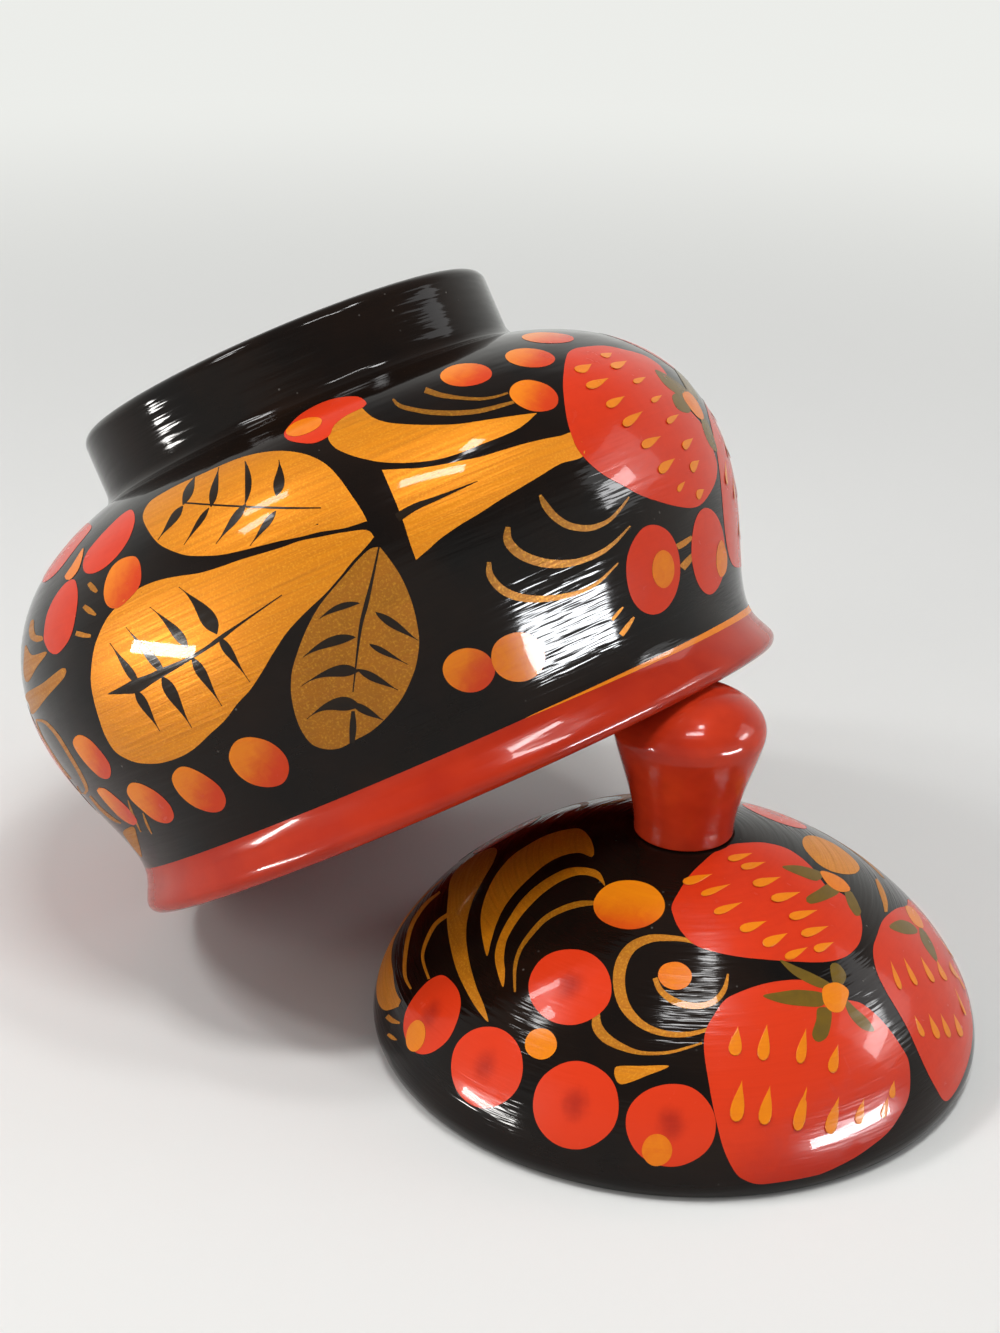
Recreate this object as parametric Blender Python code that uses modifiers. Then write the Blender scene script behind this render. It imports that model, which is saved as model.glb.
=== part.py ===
"""Turned and lacquered wooden jar with a domed, knobbed lid.

The lid lies on the table on its seat ring. The jar body stands mouth down beside it, tipped so that one
side of its lip touches the table and the other side rests on the crown of the lid's knob.
"""
import math

import bpy
from mathutils import Matrix, Vector

# All sizes are in metres and all angles in radians.

# Jar body, one turned block: heights are counted up from the foot, with the mouth at the top.
WAIST_RADIUS = 0.06305
LIP_FLARE = 0.00215
LIP_THICKNESS = 0.0040
LIP_TO_WAIST = 0.0087
BELLY_SWELL = 0.00805
LIP_TO_BELLY = 0.0410
BODY_HEIGHT = 0.0881
FOOT_RING_HEIGHT = 0.0150
FOOT_RADIUS = 0.0415
FOOT_EDGE_ROUND = 0.0025
FOOT_FILLET = 0.0030
FOOT_RING_WIDTH = 0.0065
FOOT_RECESS = 0.0050
SHOULDER_SLOPE = math.radians(17.0)
WALL = 0.0060
FLOOR_THICKNESS = 0.0110
FLOOR_RADIUS = 0.0260

# How strongly the outline leaves each station of the profile before it bends to the next.
WAIST_PULL = 0.0075
BELLY_PULL_UP = 0.0140
BELLY_PULL_DOWN = 0.0175
SHOULDER_PULL = 0.0155
FLARE_PULL = 0.0030

# Seat for the lid, a ledge inside the collar that the waist forms.
COLLAR_WALL = 0.00665
LID_CLEARANCE = 0.0006
LIP_TO_LEDGE = 0.0090
LEDGE_WIDTH = 0.0059
NECK_LENGTH = 0.0040

# Lid, one turned dome with a hollow underside.
LID_EDGE_HEIGHT = 0.0035
LID_EDGE_ROUND = 0.0022
LID_SEAT_WIDTH = 0.0071
DOME_HEIGHT = 0.0384
DOME_FULLNESS = 1.65
HOLLOW_FULLNESS = 2.2
WOOD_UNDER_KNOB = 0.0090

# Knob, turned with a round tenon that is glued into the lid.
KNOB_BASE_RADIUS = 0.0090
KNOB_RADIUS = 0.0136
KNOB_FLANK_HEIGHT = 0.0208
KNOB_SHOULDER_ROUND = 0.0012
KNOB_CROWN_HEIGHT = 0.0070
CROWN_FULLNESS = 2.0
KNOB_LANDING_MARGIN = 0.0006
TENON_RADIUS = 0.0045
TENON_LENGTH = 0.0056
SOCKET_SLACK = 0.0003
SOCKET_SPARE_DEPTH = 0.0004

# Gap that touching pieces keep.
SEAT_GAP = 0.0003

# How the jar leans: which way its foot points in plan, where the lip sits on the knob's crown
# measured from the crown's top, and how far to one side of that top it crosses.
LEAN_HEADING = math.radians(140.8)
CROWN_CONTACT = math.radians(-2.9)
LIP_SIDE_SHIFT = 0.0014

# Facets.
BODY_STEPS = 60
LID_STEPS = 60
KNOB_STEPS = 36
CURVE_POINTS = 7
ARC_POINTS = 4
DOME_POINTS = 11

# Sizes that follow from the ones above.
LIP_RADIUS = WAIST_RADIUS + LIP_FLARE
LIP_EDGE = LIP_THICKNESS / 2
BELLY_RADIUS = WAIST_RADIUS + BELLY_SWELL
COLLAR_RADIUS = WAIST_RADIUS - COLLAR_WALL
LID_RADIUS = COLLAR_RADIUS - LID_CLEARANCE
NECK_RADIUS = COLLAR_RADIUS - LEDGE_WIDTH
LANDING_RADIUS = KNOB_BASE_RADIUS + KNOB_LANDING_MARGIN


def dome_height(radius, full_radius, full_height, fullness):
    """Height of a rounded dome at a radius, from its widest ring upwards."""
    share = 1.0 - (radius / full_radius) ** fullness
    return full_height * share ** (1.0 / fullness)


LANDING_HEIGHT = LID_EDGE_HEIGHT + dome_height(LANDING_RADIUS, LID_RADIUS, DOME_HEIGHT, DOME_FULLNESS)
KNOB_HEIGHT = KNOB_FLANK_HEIGHT + KNOB_CROWN_HEIGHT
CROWN_BASE = KNOB_FLANK_HEIGHT - KNOB_SHOULDER_ROUND / 2
CROWN_RISE = KNOB_HEIGHT - CROWN_BASE
CROWN_RADIUS = KNOB_RADIUS ** 2 / CROWN_RISE


def bezier(start, start_pull, end_pull, end, count=CURVE_POINTS):
    """Points of a cubic curve between two stations, both ends included."""
    points = []
    for step in range(count + 1):
        t = step / count
        weights = ((1 - t) ** 3, 3 * t * (1 - t) ** 2, 3 * t * t * (1 - t), t ** 3)
        stations = (start, start_pull, end_pull, end)
        points.append(tuple(sum(w * p[axis] for w, p in zip(weights, stations)) for axis in (0, 1)))
    return points


def arc(centre, radius, start_degrees, end_degrees, count=ARC_POINTS):
    """Points of an arc, both ends included."""
    points = []
    for step in range(count + 1):
        angle = math.radians(start_degrees + (end_degrees - start_degrees) * step / count)
        points.append((centre[0] + radius * math.cos(angle), centre[1] + radius * math.sin(angle)))
    return points


def dome(full_radius, full_height, fullness, base_height, inner_radius, outer_radius):
    """Points up a dome's curve from an outer radius to an inner one."""
    def place(radius):
        return math.acos((radius / full_radius) ** (fullness / 2))

    first, last = place(outer_radius), place(inner_radius)
    points = []
    for step in range(DOME_POINTS + 1):
        angle = first + (last - first) * step / DOME_POINTS
        radius = full_radius * math.cos(angle) ** (2 / fullness)
        points.append((radius, base_height + full_height * math.sin(angle) ** (2 / fullness)))
    return points


def body_profile():
    """Half section of the jar body: from the middle of its floor, over the lip, to its underside."""
    belly_height = BODY_HEIGHT - LIP_TO_BELLY
    waist_height = BODY_HEIGHT - LIP_TO_WAIST
    ledge_height = BODY_HEIGHT - LIP_TO_LEDGE
    neck_end = ledge_height - NECK_LENGTH
    floor_height = FOOT_RECESS + FLOOR_THICKNESS
    inner_belly = BELLY_RADIUS - WALL
    lip_centre = (LIP_RADIUS - LIP_EDGE, BODY_HEIGHT - LIP_EDGE)
    lip_end = (LIP_RADIUS, BODY_HEIGHT - LIP_EDGE)
    fillet_centre = (FOOT_RADIUS + FOOT_FILLET, FOOT_RING_HEIGHT - FOOT_FILLET)
    root = (FOOT_RADIUS + FOOT_FILLET, FOOT_RING_HEIGHT)
    shoulder_pull = (root[0] + SHOULDER_PULL * math.cos(SHOULDER_SLOPE),
                     root[1] + SHOULDER_PULL * math.sin(SHOULDER_SLOPE))
    ring_inner = FOOT_RADIUS - FOOT_RING_WIDTH

    inside = [(0.0, floor_height)]
    inside += bezier((FLOOR_RADIUS, floor_height),
                     (FOOT_RADIUS + WALL / 2, floor_height),
                     (inner_belly, belly_height - BELLY_PULL_DOWN),
                     (inner_belly, belly_height))
    inside += bezier((inner_belly, belly_height),
                     (inner_belly, belly_height + BELLY_PULL_UP),
                     (NECK_RADIUS, neck_end - WAIST_PULL),
                     (NECK_RADIUS, neck_end))[1:]
    inside += [(NECK_RADIUS, ledge_height), (COLLAR_RADIUS, ledge_height)]

    lip = arc(lip_centre, LIP_EDGE, 180, 0, 2 * ARC_POINTS)

    outside = bezier(lip_end,
                     (LIP_RADIUS, lip_end[1] - FLARE_PULL / 2),
                     (WAIST_RADIUS, waist_height + FLARE_PULL),
                     (WAIST_RADIUS, waist_height), ARC_POINTS)[1:]
    outside += bezier((WAIST_RADIUS, waist_height),
                      (WAIST_RADIUS, waist_height - WAIST_PULL),
                      (BELLY_RADIUS, belly_height + BELLY_PULL_UP),
                      (BELLY_RADIUS, belly_height))[1:]
    outside += bezier((BELLY_RADIUS, belly_height),
                      (BELLY_RADIUS, belly_height - BELLY_PULL_DOWN),
                      shoulder_pull, root)[1:]
    outside += arc(fillet_centre, FOOT_FILLET, 90, 180)[1:]
    outside += arc((FOOT_RADIUS - FOOT_EDGE_ROUND, FOOT_EDGE_ROUND), FOOT_EDGE_ROUND, 0, -90)

    underside = [(ring_inner, 0.0), (ring_inner, FOOT_RECESS), (0.0, FOOT_RECESS)]
    return inside + lip + outside + underside


def lid_profile():
    """Half section of the lid: from the knob's socket, down the dome, round the edge, up the hollow."""
    socket_radius = TENON_RADIUS + SOCKET_SLACK
    socket_floor = LANDING_HEIGHT - TENON_LENGTH - SOCKET_SPARE_DEPTH
    seat_outer = LID_RADIUS - LID_EDGE_ROUND
    hollow_radius = seat_outer - LID_SEAT_WIDTH
    hollow_height = LANDING_HEIGHT - WOOD_UNDER_KNOB

    socket = [(0.0, socket_floor), (socket_radius, socket_floor), (socket_radius, LANDING_HEIGHT)]
    outside = dome(LID_RADIUS, DOME_HEIGHT, DOME_FULLNESS, LID_EDGE_HEIGHT, LANDING_RADIUS, LID_RADIUS)[::-1]
    edge = bezier((LID_RADIUS, LID_EDGE_HEIGHT),
                  (LID_RADIUS, LID_EDGE_HEIGHT / 2),
                  (seat_outer + LID_EDGE_ROUND / 2, 0.0),
                  (seat_outer, 0.0), ARC_POINTS)[1:]
    hollow = dome(hollow_radius, hollow_height, HOLLOW_FULLNESS, 0.0, 0.0, hollow_radius)
    return socket + outside + edge + hollow


def knob_profile():
    """Half section of the knob: from its crown down the tapered flank to the foot of its tenon."""
    crown = dome(KNOB_RADIUS, CROWN_RISE, CROWN_FULLNESS, CROWN_BASE, 0.0, KNOB_RADIUS)[::-1]
    flank = bezier((KNOB_RADIUS, KNOB_FLANK_HEIGHT - KNOB_SHOULDER_ROUND),
                   (KNOB_RADIUS - KNOB_SHOULDER_ROUND, KNOB_FLANK_HEIGHT * 2 / 3),
                   (KNOB_BASE_RADIUS, KNOB_FLANK_HEIGHT / 3),
                   (KNOB_BASE_RADIUS, 0.0), ARC_POINTS)
    tenon = [(TENON_RADIUS, 0.0), (TENON_RADIUS, -TENON_LENGTH), (0.0, -TENON_LENGTH)]
    return [(0.0, KNOB_HEIGHT)] + crown[1:] + flank + tenon


def lacquer(name, colour, roughness):
    """Plain lacquer finish."""
    material = bpy.data.materials.new(name)
    material.use_nodes = True
    shader = material.node_tree.nodes["Principled BSDF"]
    shader.inputs["Base Color"].default_value = colour
    shader.inputs["Roughness"].default_value = roughness
    shader.inputs["Metallic"].default_value = 0.0
    return material


def turned(name, profile, steps, material, collection):
    """One turned piece: its half section swept once round the vertical axis."""
    mesh = bpy.data.meshes.new(name)
    points = [(radius, 0.0, height) for radius, height in profile]
    edges = [(i, i + 1) for i in range(len(points) - 1)]
    mesh.from_pydata(points, edges, [])
    mesh.materials.append(material)
    piece = bpy.data.objects.new(name, mesh)
    collection.objects.link(piece)
    screw = piece.modifiers.new("turn", "SCREW")
    screw.axis = "Z"
    screw.angle = math.tau
    screw.steps = steps
    screw.render_steps = steps
    screw.use_merge_vertices = True
    screw.merge_threshold = 0.00001
    screw.use_smooth_shade = True
    return piece


def leaning_place():
    """Where the jar body lies in the lid's frame, with its lip on the table and on the knob's crown."""
    ring = LIP_RADIUS - LIP_EDGE
    reach = LIP_EDGE + CROWN_RADIUS + SEAT_GAP
    crown_centre = LANDING_HEIGHT + SEAT_GAP + KNOB_HEIGHT - CROWN_RADIUS
    rise = crown_centre + reach * math.cos(CROWN_CONTACT) - LIP_EDGE
    tilt = math.asin(rise / (2 * ring))
    lean = Vector((math.cos(LEAN_HEADING), math.sin(LEAN_HEADING), 0.0))
    side = Vector((-lean.y, lean.x, 0.0))
    up = Vector((0.0, 0.0, 1.0))
    axis = lean * math.sin(tilt) + up * math.cos(tilt)
    along = lean * math.cos(tilt) - up * math.sin(tilt)
    out = reach * math.sin(CROWN_CONTACT) + ring * math.cos(tilt) - LIP_EDGE * math.sin(tilt)
    height = LIP_EDGE + ring * math.sin(tilt) - LIP_EDGE * math.cos(tilt)
    mouth = lean * out + side * LIP_SIDE_SHIFT + up * height
    foot = mouth + axis * BODY_HEIGHT
    down = -axis
    across = down.cross(along)
    turn = Matrix((along, across, down)).transposed().to_4x4()
    return Matrix.Translation(foot) @ turn


def lowest_middle(pieces):
    """Middle of the bottom of the box round all pieces."""
    graph = bpy.context.evaluated_depsgraph_get()
    corners = []
    for piece in pieces:
        solid = piece.evaluated_get(graph)
        mesh = solid.to_mesh()
        corners += [solid.matrix_world @ vertex.co for vertex in mesh.vertices]
        solid.to_mesh_clear()
    low = [min(c[axis] for c in corners) for axis in range(3)]
    high = [max(c[axis] for c in corners) for axis in range(3)]
    return Vector(((low[0] + high[0]) / 2, (low[1] + high[1]) / 2, low[2]))


def main():
    for old in list(bpy.data.objects):
        bpy.data.objects.remove(old)
    collection = bpy.data.collections.new("lidded_jar")
    bpy.context.scene.collection.children.link(collection)

    table = bpy.data.objects.new("table_frame", None)
    collection.objects.link(table)

    black = lacquer("black_lacquer", (0.012, 0.010, 0.009, 1.0), 0.12)
    dome_black = lacquer("lid_black_lacquer", (0.012, 0.010, 0.009, 1.0), 0.12)
    red = lacquer("red_lacquer", (0.50, 0.035, 0.012, 1.0), 0.15)

    body = turned("jar_body", body_profile(), BODY_STEPS, black, collection)
    lid = turned("lid", lid_profile(), LID_STEPS, dome_black, collection)
    knob = turned("knob", knob_profile(), KNOB_STEPS, red, collection)

    lid.parent = table
    knob.parent = lid
    knob.location = (0.0, 0.0, LANDING_HEIGHT + SEAT_GAP)
    body.parent = table
    body.matrix_local = leaning_place()
    bpy.context.view_layer.update()

    # The origin is under the middle of the whole set, on the table.
    table.location = -lowest_middle((body, lid, knob))
    bpy.context.view_layer.update()


main()
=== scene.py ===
import math

import bpy
import bmesh
from mathutils import Matrix, Vector, noise
from mathutils.bvhtree import BVHTree
from mathutils.geometry import delaunay_2d_cdt


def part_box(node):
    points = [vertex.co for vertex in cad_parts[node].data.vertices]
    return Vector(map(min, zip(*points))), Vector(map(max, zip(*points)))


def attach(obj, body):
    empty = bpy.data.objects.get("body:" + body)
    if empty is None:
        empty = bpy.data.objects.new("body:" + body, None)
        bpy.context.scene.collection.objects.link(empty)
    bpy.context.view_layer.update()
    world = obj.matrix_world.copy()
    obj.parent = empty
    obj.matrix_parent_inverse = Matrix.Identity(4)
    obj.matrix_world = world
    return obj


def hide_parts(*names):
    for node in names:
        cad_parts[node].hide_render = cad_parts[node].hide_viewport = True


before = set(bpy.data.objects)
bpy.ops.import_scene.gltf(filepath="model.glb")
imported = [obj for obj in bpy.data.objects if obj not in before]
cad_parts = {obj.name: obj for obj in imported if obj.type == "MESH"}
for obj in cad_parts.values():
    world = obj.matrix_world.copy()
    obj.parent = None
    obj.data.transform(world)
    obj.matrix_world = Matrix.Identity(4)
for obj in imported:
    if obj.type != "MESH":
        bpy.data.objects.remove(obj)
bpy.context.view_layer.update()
mm = 0.001
print("frame loaded:", ", ".join(sorted(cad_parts)))

# camera, measured from the photo; pixel places below count on its 1000 x 1333 frame
camera = {"place": (0.0007, -0.40997, 0.24332), "pitch": 24.228, "roll": 1.585, "focalPixels": 2388.0,
          "width": 1000.0, "height": 1333.0, "sensor": 36.0, "nearest": 0.01}
eye = Vector(camera["place"])
pitch, roll = math.radians(camera["pitch"]), math.radians(camera["roll"])
ahead = Vector((0.0, math.cos(pitch), -math.sin(pitch)))
level = Vector((0.0, math.sin(pitch), math.cos(pitch)))
rightWay = Vector((1.0, 0.0, 0.0)) * math.cos(roll) + level * math.sin(roll)
upWay = rightWay.cross(ahead)


def placeCamera():
    data = bpy.data.cameras.new("photo camera")
    data.sensor_fit = "HORIZONTAL"
    data.sensor_width = camera["sensor"]
    data.lens = camera["sensor"] * camera["focalPixels"] / camera["width"]
    data.clip_start = camera["nearest"]
    view = bpy.data.objects.new("photo camera", data)
    turn = Matrix((rightWay, upWay, -ahead)).transposed().to_4x4()
    view.matrix_world = Matrix.Translation(eye) @ turn
    bpy.context.scene.collection.objects.link(view)
    bpy.context.scene.camera = view


def sightLine(x, y):
    # the way from the eye through a place in the photo
    across, down = x - camera["width"] / 2, y - camera["height"] / 2
    return (ahead * camera["focalPixels"] + rightWay * across - upWay * down).normalized()


def photoPlace(point):
    # the place in the photo of a point in the room
    way = point - eye
    scale = camera["focalPixels"] / way.dot(ahead)
    across, up = scale * way.dot(rightWay), scale * way.dot(upWay)
    return camera["width"] / 2 + across, camera["height"] / 2 - up


placeCamera()

# node helpers


def addNode(tree, kind, inputs=None, **settings):
    # a node with its settings made and its inputs linked or filled in
    node = tree.nodes.new(kind)
    for key, value in settings.items():
        setattr(node, key, value)
    for key, value in (inputs or {}).items():
        if isinstance(value, bpy.types.NodeSocket):
            tree.links.new(value, node.inputs[key])
        else:
            node.inputs[key].default_value = value
    return node


def calc(tree, operation, first, second=None):
    values = {0: first}
    if second is not None:
        values[1] = second
    return addNode(tree, "ShaderNodeMath", values, operation=operation).outputs[0]


def spread(tree, value, low, high, fromLow=0.3, fromHigh=0.7, **settings):
    # takes a value from one range to another
    ranges = {"Value": value, "From Min": fromLow, "From Max": fromHigh, "To Min": low, "To Max": high}
    return addNode(tree, "ShaderNodeMapRange", ranges, **settings).outputs[0]


def blendColours(tree, factor, first, second):
    return addNode(tree, "ShaderNodeMix", {0: factor, 6: first, 7: second}, data_type="RGBA").outputs[2]


def axes(tree, vector):
    return addNode(tree, "ShaderNodeSeparateXYZ", {0: vector}).outputs


def vectorOf(tree, x, y, z=0.0):
    return addNode(tree, "ShaderNodeCombineXYZ", {"X": x, "Y": y, "Z": z}).outputs[0]


def newSocket(tree, name, kind, way="INPUT", value=None):
    socket = tree.interface.new_socket(name, in_out=way, socket_type="NodeSocket" + kind)
    if value is not None:
        socket.default_value = value


# turned shapes: half sections in millimetres, radius first, then height


def curvePoints(start, startPull, endPull, end, count):
    # a smooth run that leaves one station and meets the next along their pulls
    points = []
    for step in range(count + 1):
        t = step / count
        weights = ((1 - t) ** 3, 3 * t * (1 - t) ** 2, 3 * t * t * (1 - t), t ** 3)
        stations = (start, startPull, endPull, end)
        points.append(tuple(sum(w * p[axis] for w, p in zip(weights, stations)) for axis in (0, 1)))
    return points


def arcPoints(centre, radius, start, end, count):
    points = []
    for step in range(count + 1):
        angle = math.radians(start + (end - start) * step / count)
        points.append((centre[0] + radius * math.cos(angle), centre[1] + radius * math.sin(angle)))
    return points


def domePoints(fullRadius, fullHeight, fullness, base, innerRadius, outerRadius, count):
    # a dome's curve from its outer to its inner radius; 2 is round, less is more pointed
    def place(radius):
        return math.acos((radius / fullRadius) ** (fullness / 2))

    first, last = place(outerRadius), place(innerRadius)
    points = []
    for step in range(count + 1):
        angle = first + (last - first) * step / count
        points.append((fullRadius * math.cos(angle) ** (2 / fullness),
                       base + fullHeight * math.sin(angle) ** (2 / fullness)))
    return points


def easeCorner(before, corner, after, radius, count=5, pull=0.45):
    # a small round in place of a sharp turned corner
    here = Vector(corner)
    toBefore, toAfter = Vector(before) - here, Vector(after) - here
    start = here + toBefore.normalized() * min(radius, toBefore.length / 2)
    end = here + toAfter.normalized() * min(radius, toAfter.length / 2)
    stations = (start, here.lerp(start, pull), here.lerp(end, pull), end)
    return curvePoints(*(tuple(spot) for spot in stations), count)


jar = {"waist": 62.93, "lip": 65.08, "lipEdge": 2.0, "lipToWaist": 8.7, "belly": 70.90, "lipToBelly": 41.0,
       "height": 88.1, "footHeight": 15.0, "foot": 41.4, "footRound": 2.5, "footFillet": 3.0,
       "footRing": 6.5, "footRecess": 5.0, "shoulderSlope": 17.0, "wall": 6.0, "floor": 11.0,
       "floorRadius": 26.0, "waistPull": 7.5, "bellyPullUp": 14.0, "bellyPullDown": 17.5,
       "shoulderPull": 15.5, "flarePull": 3.0, "collar": 56.4, "ledgeDepth": 9.0, "neck": 50.5,
       "neckLength": 4.0, "edgeEase": 0.7, "steps": 240, "curve": 22, "arc": 9,
       "heading": 140.8, "tilt": 33.072, "footPlace": (-0.042732, 0.032260, 0.108638), "mapRadius": 68.0}


def jarProfile():
    # the whole section from the floor inside to the foot, its red rows, and the painted side alone
    s = jar
    bellyAt, waistAt = s["height"] - s["lipToBelly"], s["height"] - s["lipToWaist"]
    ledgeAt = s["height"] - s["ledgeDepth"]
    neckEnd = ledgeAt - s["neckLength"]
    floorAt = s["footRecess"] + s["floor"]
    inner = s["belly"] - s["wall"]
    slope = math.radians(s["shoulderSlope"])
    root = (s["foot"] + s["footFillet"], s["footHeight"])
    lipEnd = (s["lip"], s["height"] - s["lipEdge"])
    ringInner = s["foot"] - s["footRing"]

    inside = [(0.0, floorAt)]
    inside += curvePoints((s["floorRadius"], floorAt), (s["foot"] + s["wall"] / 2, floorAt),
                          (inner, bellyAt - s["bellyPullDown"]), (inner, bellyAt), s["curve"])
    inside += curvePoints((inner, bellyAt), (inner, bellyAt + s["bellyPullUp"]),
                          (s["neck"], neckEnd - s["waistPull"]), (s["neck"], neckEnd), s["curve"])[1:]
    inside += easeCorner((s["neck"], neckEnd), (s["neck"], ledgeAt), (s["collar"], ledgeAt), s["edgeEase"])
    inside += [(s["collar"], ledgeAt)]
    lip = arcPoints((s["lip"] - s["lipEdge"], lipEnd[1]), s["lipEdge"], 180, 0, 2 * s["arc"])
    flare = curvePoints(lipEnd, (s["lip"], lipEnd[1] - s["flarePull"] / 2),
                        (s["waist"], waistAt + s["flarePull"]), (s["waist"], waistAt), s["arc"])[1:]
    belly = curvePoints((s["waist"], waistAt), (s["waist"], waistAt - s["waistPull"]),
                        (s["belly"], bellyAt + s["bellyPullUp"]), (s["belly"], bellyAt), s["curve"])[1:]
    belly += curvePoints((s["belly"], bellyAt), (s["belly"], bellyAt - s["bellyPullDown"]),
                         (root[0] + s["shoulderPull"] * math.cos(slope),
                          root[1] + s["shoulderPull"] * math.sin(slope)), root, s["curve"])[1:]
    foot = arcPoints((root[0], root[1] - s["footFillet"]), s["footFillet"], 90, 180, s["arc"])[1:]
    foot += arcPoints((s["foot"] - s["footRound"], s["footRound"]), s["footRound"], 0, -90, s["arc"])
    ringLow, ringHigh, middle = (ringInner, 0.0), (ringInner, s["footRecess"]), (0.0, s["footRecess"])
    under = easeCorner((s["foot"] - s["footRound"], 0.0), ringLow, ringHigh, s["edgeEase"])
    under += easeCorner(ringLow, ringHigh, middle, s["edgeEase"]) + [middle]
    redRows = len(inside) + len(lip) + len(flare) - 1
    return inside + lip + flare + belly + foot + under, redRows, flare + belly


lid = {"radius": 55.7, "edge": 3.5, "edgeRound": 2.2, "seat": 7.1, "dome": 38.4, "fullness": 1.65,
       "hollowFullness": 2.2, "woodUnderKnob": 9.0, "landing": 9.6, "socket": 4.8, "socketFloor": 34.61,
       "landingHeight": 40.61, "edgeEase": 0.6, "rimRows": 4, "steps": 240, "curve": 46, "arc": 10}


def lidProfile():
    # the whole section from the socket to the hollow, and the painted dome alone
    s = lid
    seatOuter = s["radius"] - s["edgeRound"]
    hollow = seatOuter - s["seat"]
    socket = [(0.0, s["socketFloor"]), (s["socket"], s["socketFloor"]), (s["socket"], s["landingHeight"])]
    outside = domePoints(s["radius"], s["dome"], s["fullness"], s["edge"], s["landing"], s["radius"],
                         s["curve"])[::-1]
    edge = curvePoints((s["radius"], s["edge"]), (s["radius"], s["edge"] / 2),
                       (seatOuter + s["edgeRound"] / 2, 0.0), (seatOuter, 0.0), s["arc"])[1:]
    under = domePoints(hollow, s["landingHeight"] - s["woodUnderKnob"], s["hollowFullness"], 0.0, 0.0, hollow,
                       s["curve"])
    rim = easeCorner((seatOuter, 0.0), under[0], under[s["rimRows"]], s["edgeEase"])
    return socket + outside + edge + rim + under[s["rimRows"] + 1:], outside


knob = {"base": 9.0, "radius": 13.6, "flank": 20.8, "shoulder": 1.2, "crown": 7.0, "fullness": 2.0,
        "tenon": 4.5, "tenonLength": 5.6, "height": 40.91, "edgeEase": 0.35, "steps": 160, "curve": 30,
        "arc": 8}


def knobProfile():
    s = knob
    top, crownBase = s["flank"] + s["crown"], s["flank"] - s["shoulder"] / 2
    crown = domePoints(s["radius"], top - crownBase, s["fullness"], crownBase, 0.0, s["radius"], s["curve"])
    crown = [(0.0, top)] + crown[-2::-1]
    flank = curvePoints((s["radius"], s["flank"] - s["shoulder"]),
                        (s["radius"] - s["shoulder"], s["flank"] * 2 / 3),
                        (s["base"], s["flank"] / 3), (s["base"], 0.0), s["curve"])
    softEdge = curvePoints(crown[-2], crown[-1], flank[0], flank[1], s["arc"])  # rolls in under the crown
    foot = easeCorner(flank[-2], (s["base"], 0.0), (s["tenon"], 0.0), s["edgeEase"])
    tenon = [(s["tenon"], 0.0), (s["tenon"], -s["tenonLength"]), (0.0, -s["tenonLength"])]
    return crown[:-2] + softEdge + flank[2:-1] + foot + tenon


def finishTree(tree, geometry, finish, outName):
    # smooth shading, plain geometry and the finish close each tree
    smooth = addNode(tree, "GeometryNodeSetShadeSmooth", {"Geometry": geometry}).outputs[0]
    whole = addNode(tree, "GeometryNodeRealizeInstances", {"Geometry": smooth}).outputs[0]
    finished = addNode(tree, "GeometryNodeSetMaterial", {"Geometry": whole, "Material": finish}).outputs[0]
    addNode(tree, "NodeGroupOutput", {outName: finished})


seamGap = 0.000001  # how near the points of the seam lie, in metres


def turnTree():
    # sweeps the points of a half section once round the axis
    tree = bpy.data.node_groups.new("turn on the lathe", "GeometryNodeTree")
    newSocket(tree, "Half Section", "Geometry")
    newSocket(tree, "Steps", "Int")
    newSocket(tree, "Seam Gap", "Float", value=seamGap)
    newSocket(tree, "Finish", "Material")
    newSocket(tree, "Turned", "Geometry", "OUTPUT")
    given = addNode(tree, "NodeGroupInput").outputs
    rows = addNode(tree, "GeometryNodeAttributeDomainSize", {"Geometry": given["Half Section"]},
                   component="MESH").outputs["Point Count"]
    columns = calc(tree, "ADD", given["Steps"], 1.0)
    grid = addNode(tree, "GeometryNodeMeshGrid", {"Size X": 1.0, "Size Y": 1.0, "Vertices X": columns,
                                                  "Vertices Y": rows})
    here = addNode(tree, "GeometryNodeInputPosition").outputs[0]
    spot = axes(tree, here)
    angle = calc(tree, "MULTIPLY", calc(tree, "ADD", spot["X"], 0.5), math.tau)
    lastRow = calc(tree, "SUBTRACT", rows, 1.0)
    row = calc(tree, "ROUND", calc(tree, "MULTIPLY", calc(tree, "ADD", spot["Y"], 0.5), lastRow))
    sample = addNode(tree, "GeometryNodeSampleIndex", {"Geometry": given["Half Section"], "Index": row},
                     data_type="FLOAT_VECTOR", domain="POINT")
    tree.links.new(here, sample.inputs["Value"])
    section = axes(tree, sample.outputs[0])
    turned = vectorOf(tree, calc(tree, "MULTIPLY", section["X"], calc(tree, "COSINE", angle)),
                      calc(tree, "MULTIPLY", section["X"], calc(tree, "SINE", angle)), section["Z"])
    rowMark = addNode(tree, "GeometryNodeStoreNamedAttribute",
                      {"Geometry": grid.outputs["Mesh"], "Name": "row", "Value": row},
                      data_type="FLOAT", domain="POINT").outputs[0]
    moved = addNode(tree, "GeometryNodeSetPosition", {"Geometry": rowMark, "Position": turned}).outputs[0]
    closed = addNode(tree, "GeometryNodeMergeByDistance", {"Geometry": moved, "Distance": given["Seam Gap"]})
    finishTree(tree, closed.outputs[0], given["Finish"], "Turned")
    return tree


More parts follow.
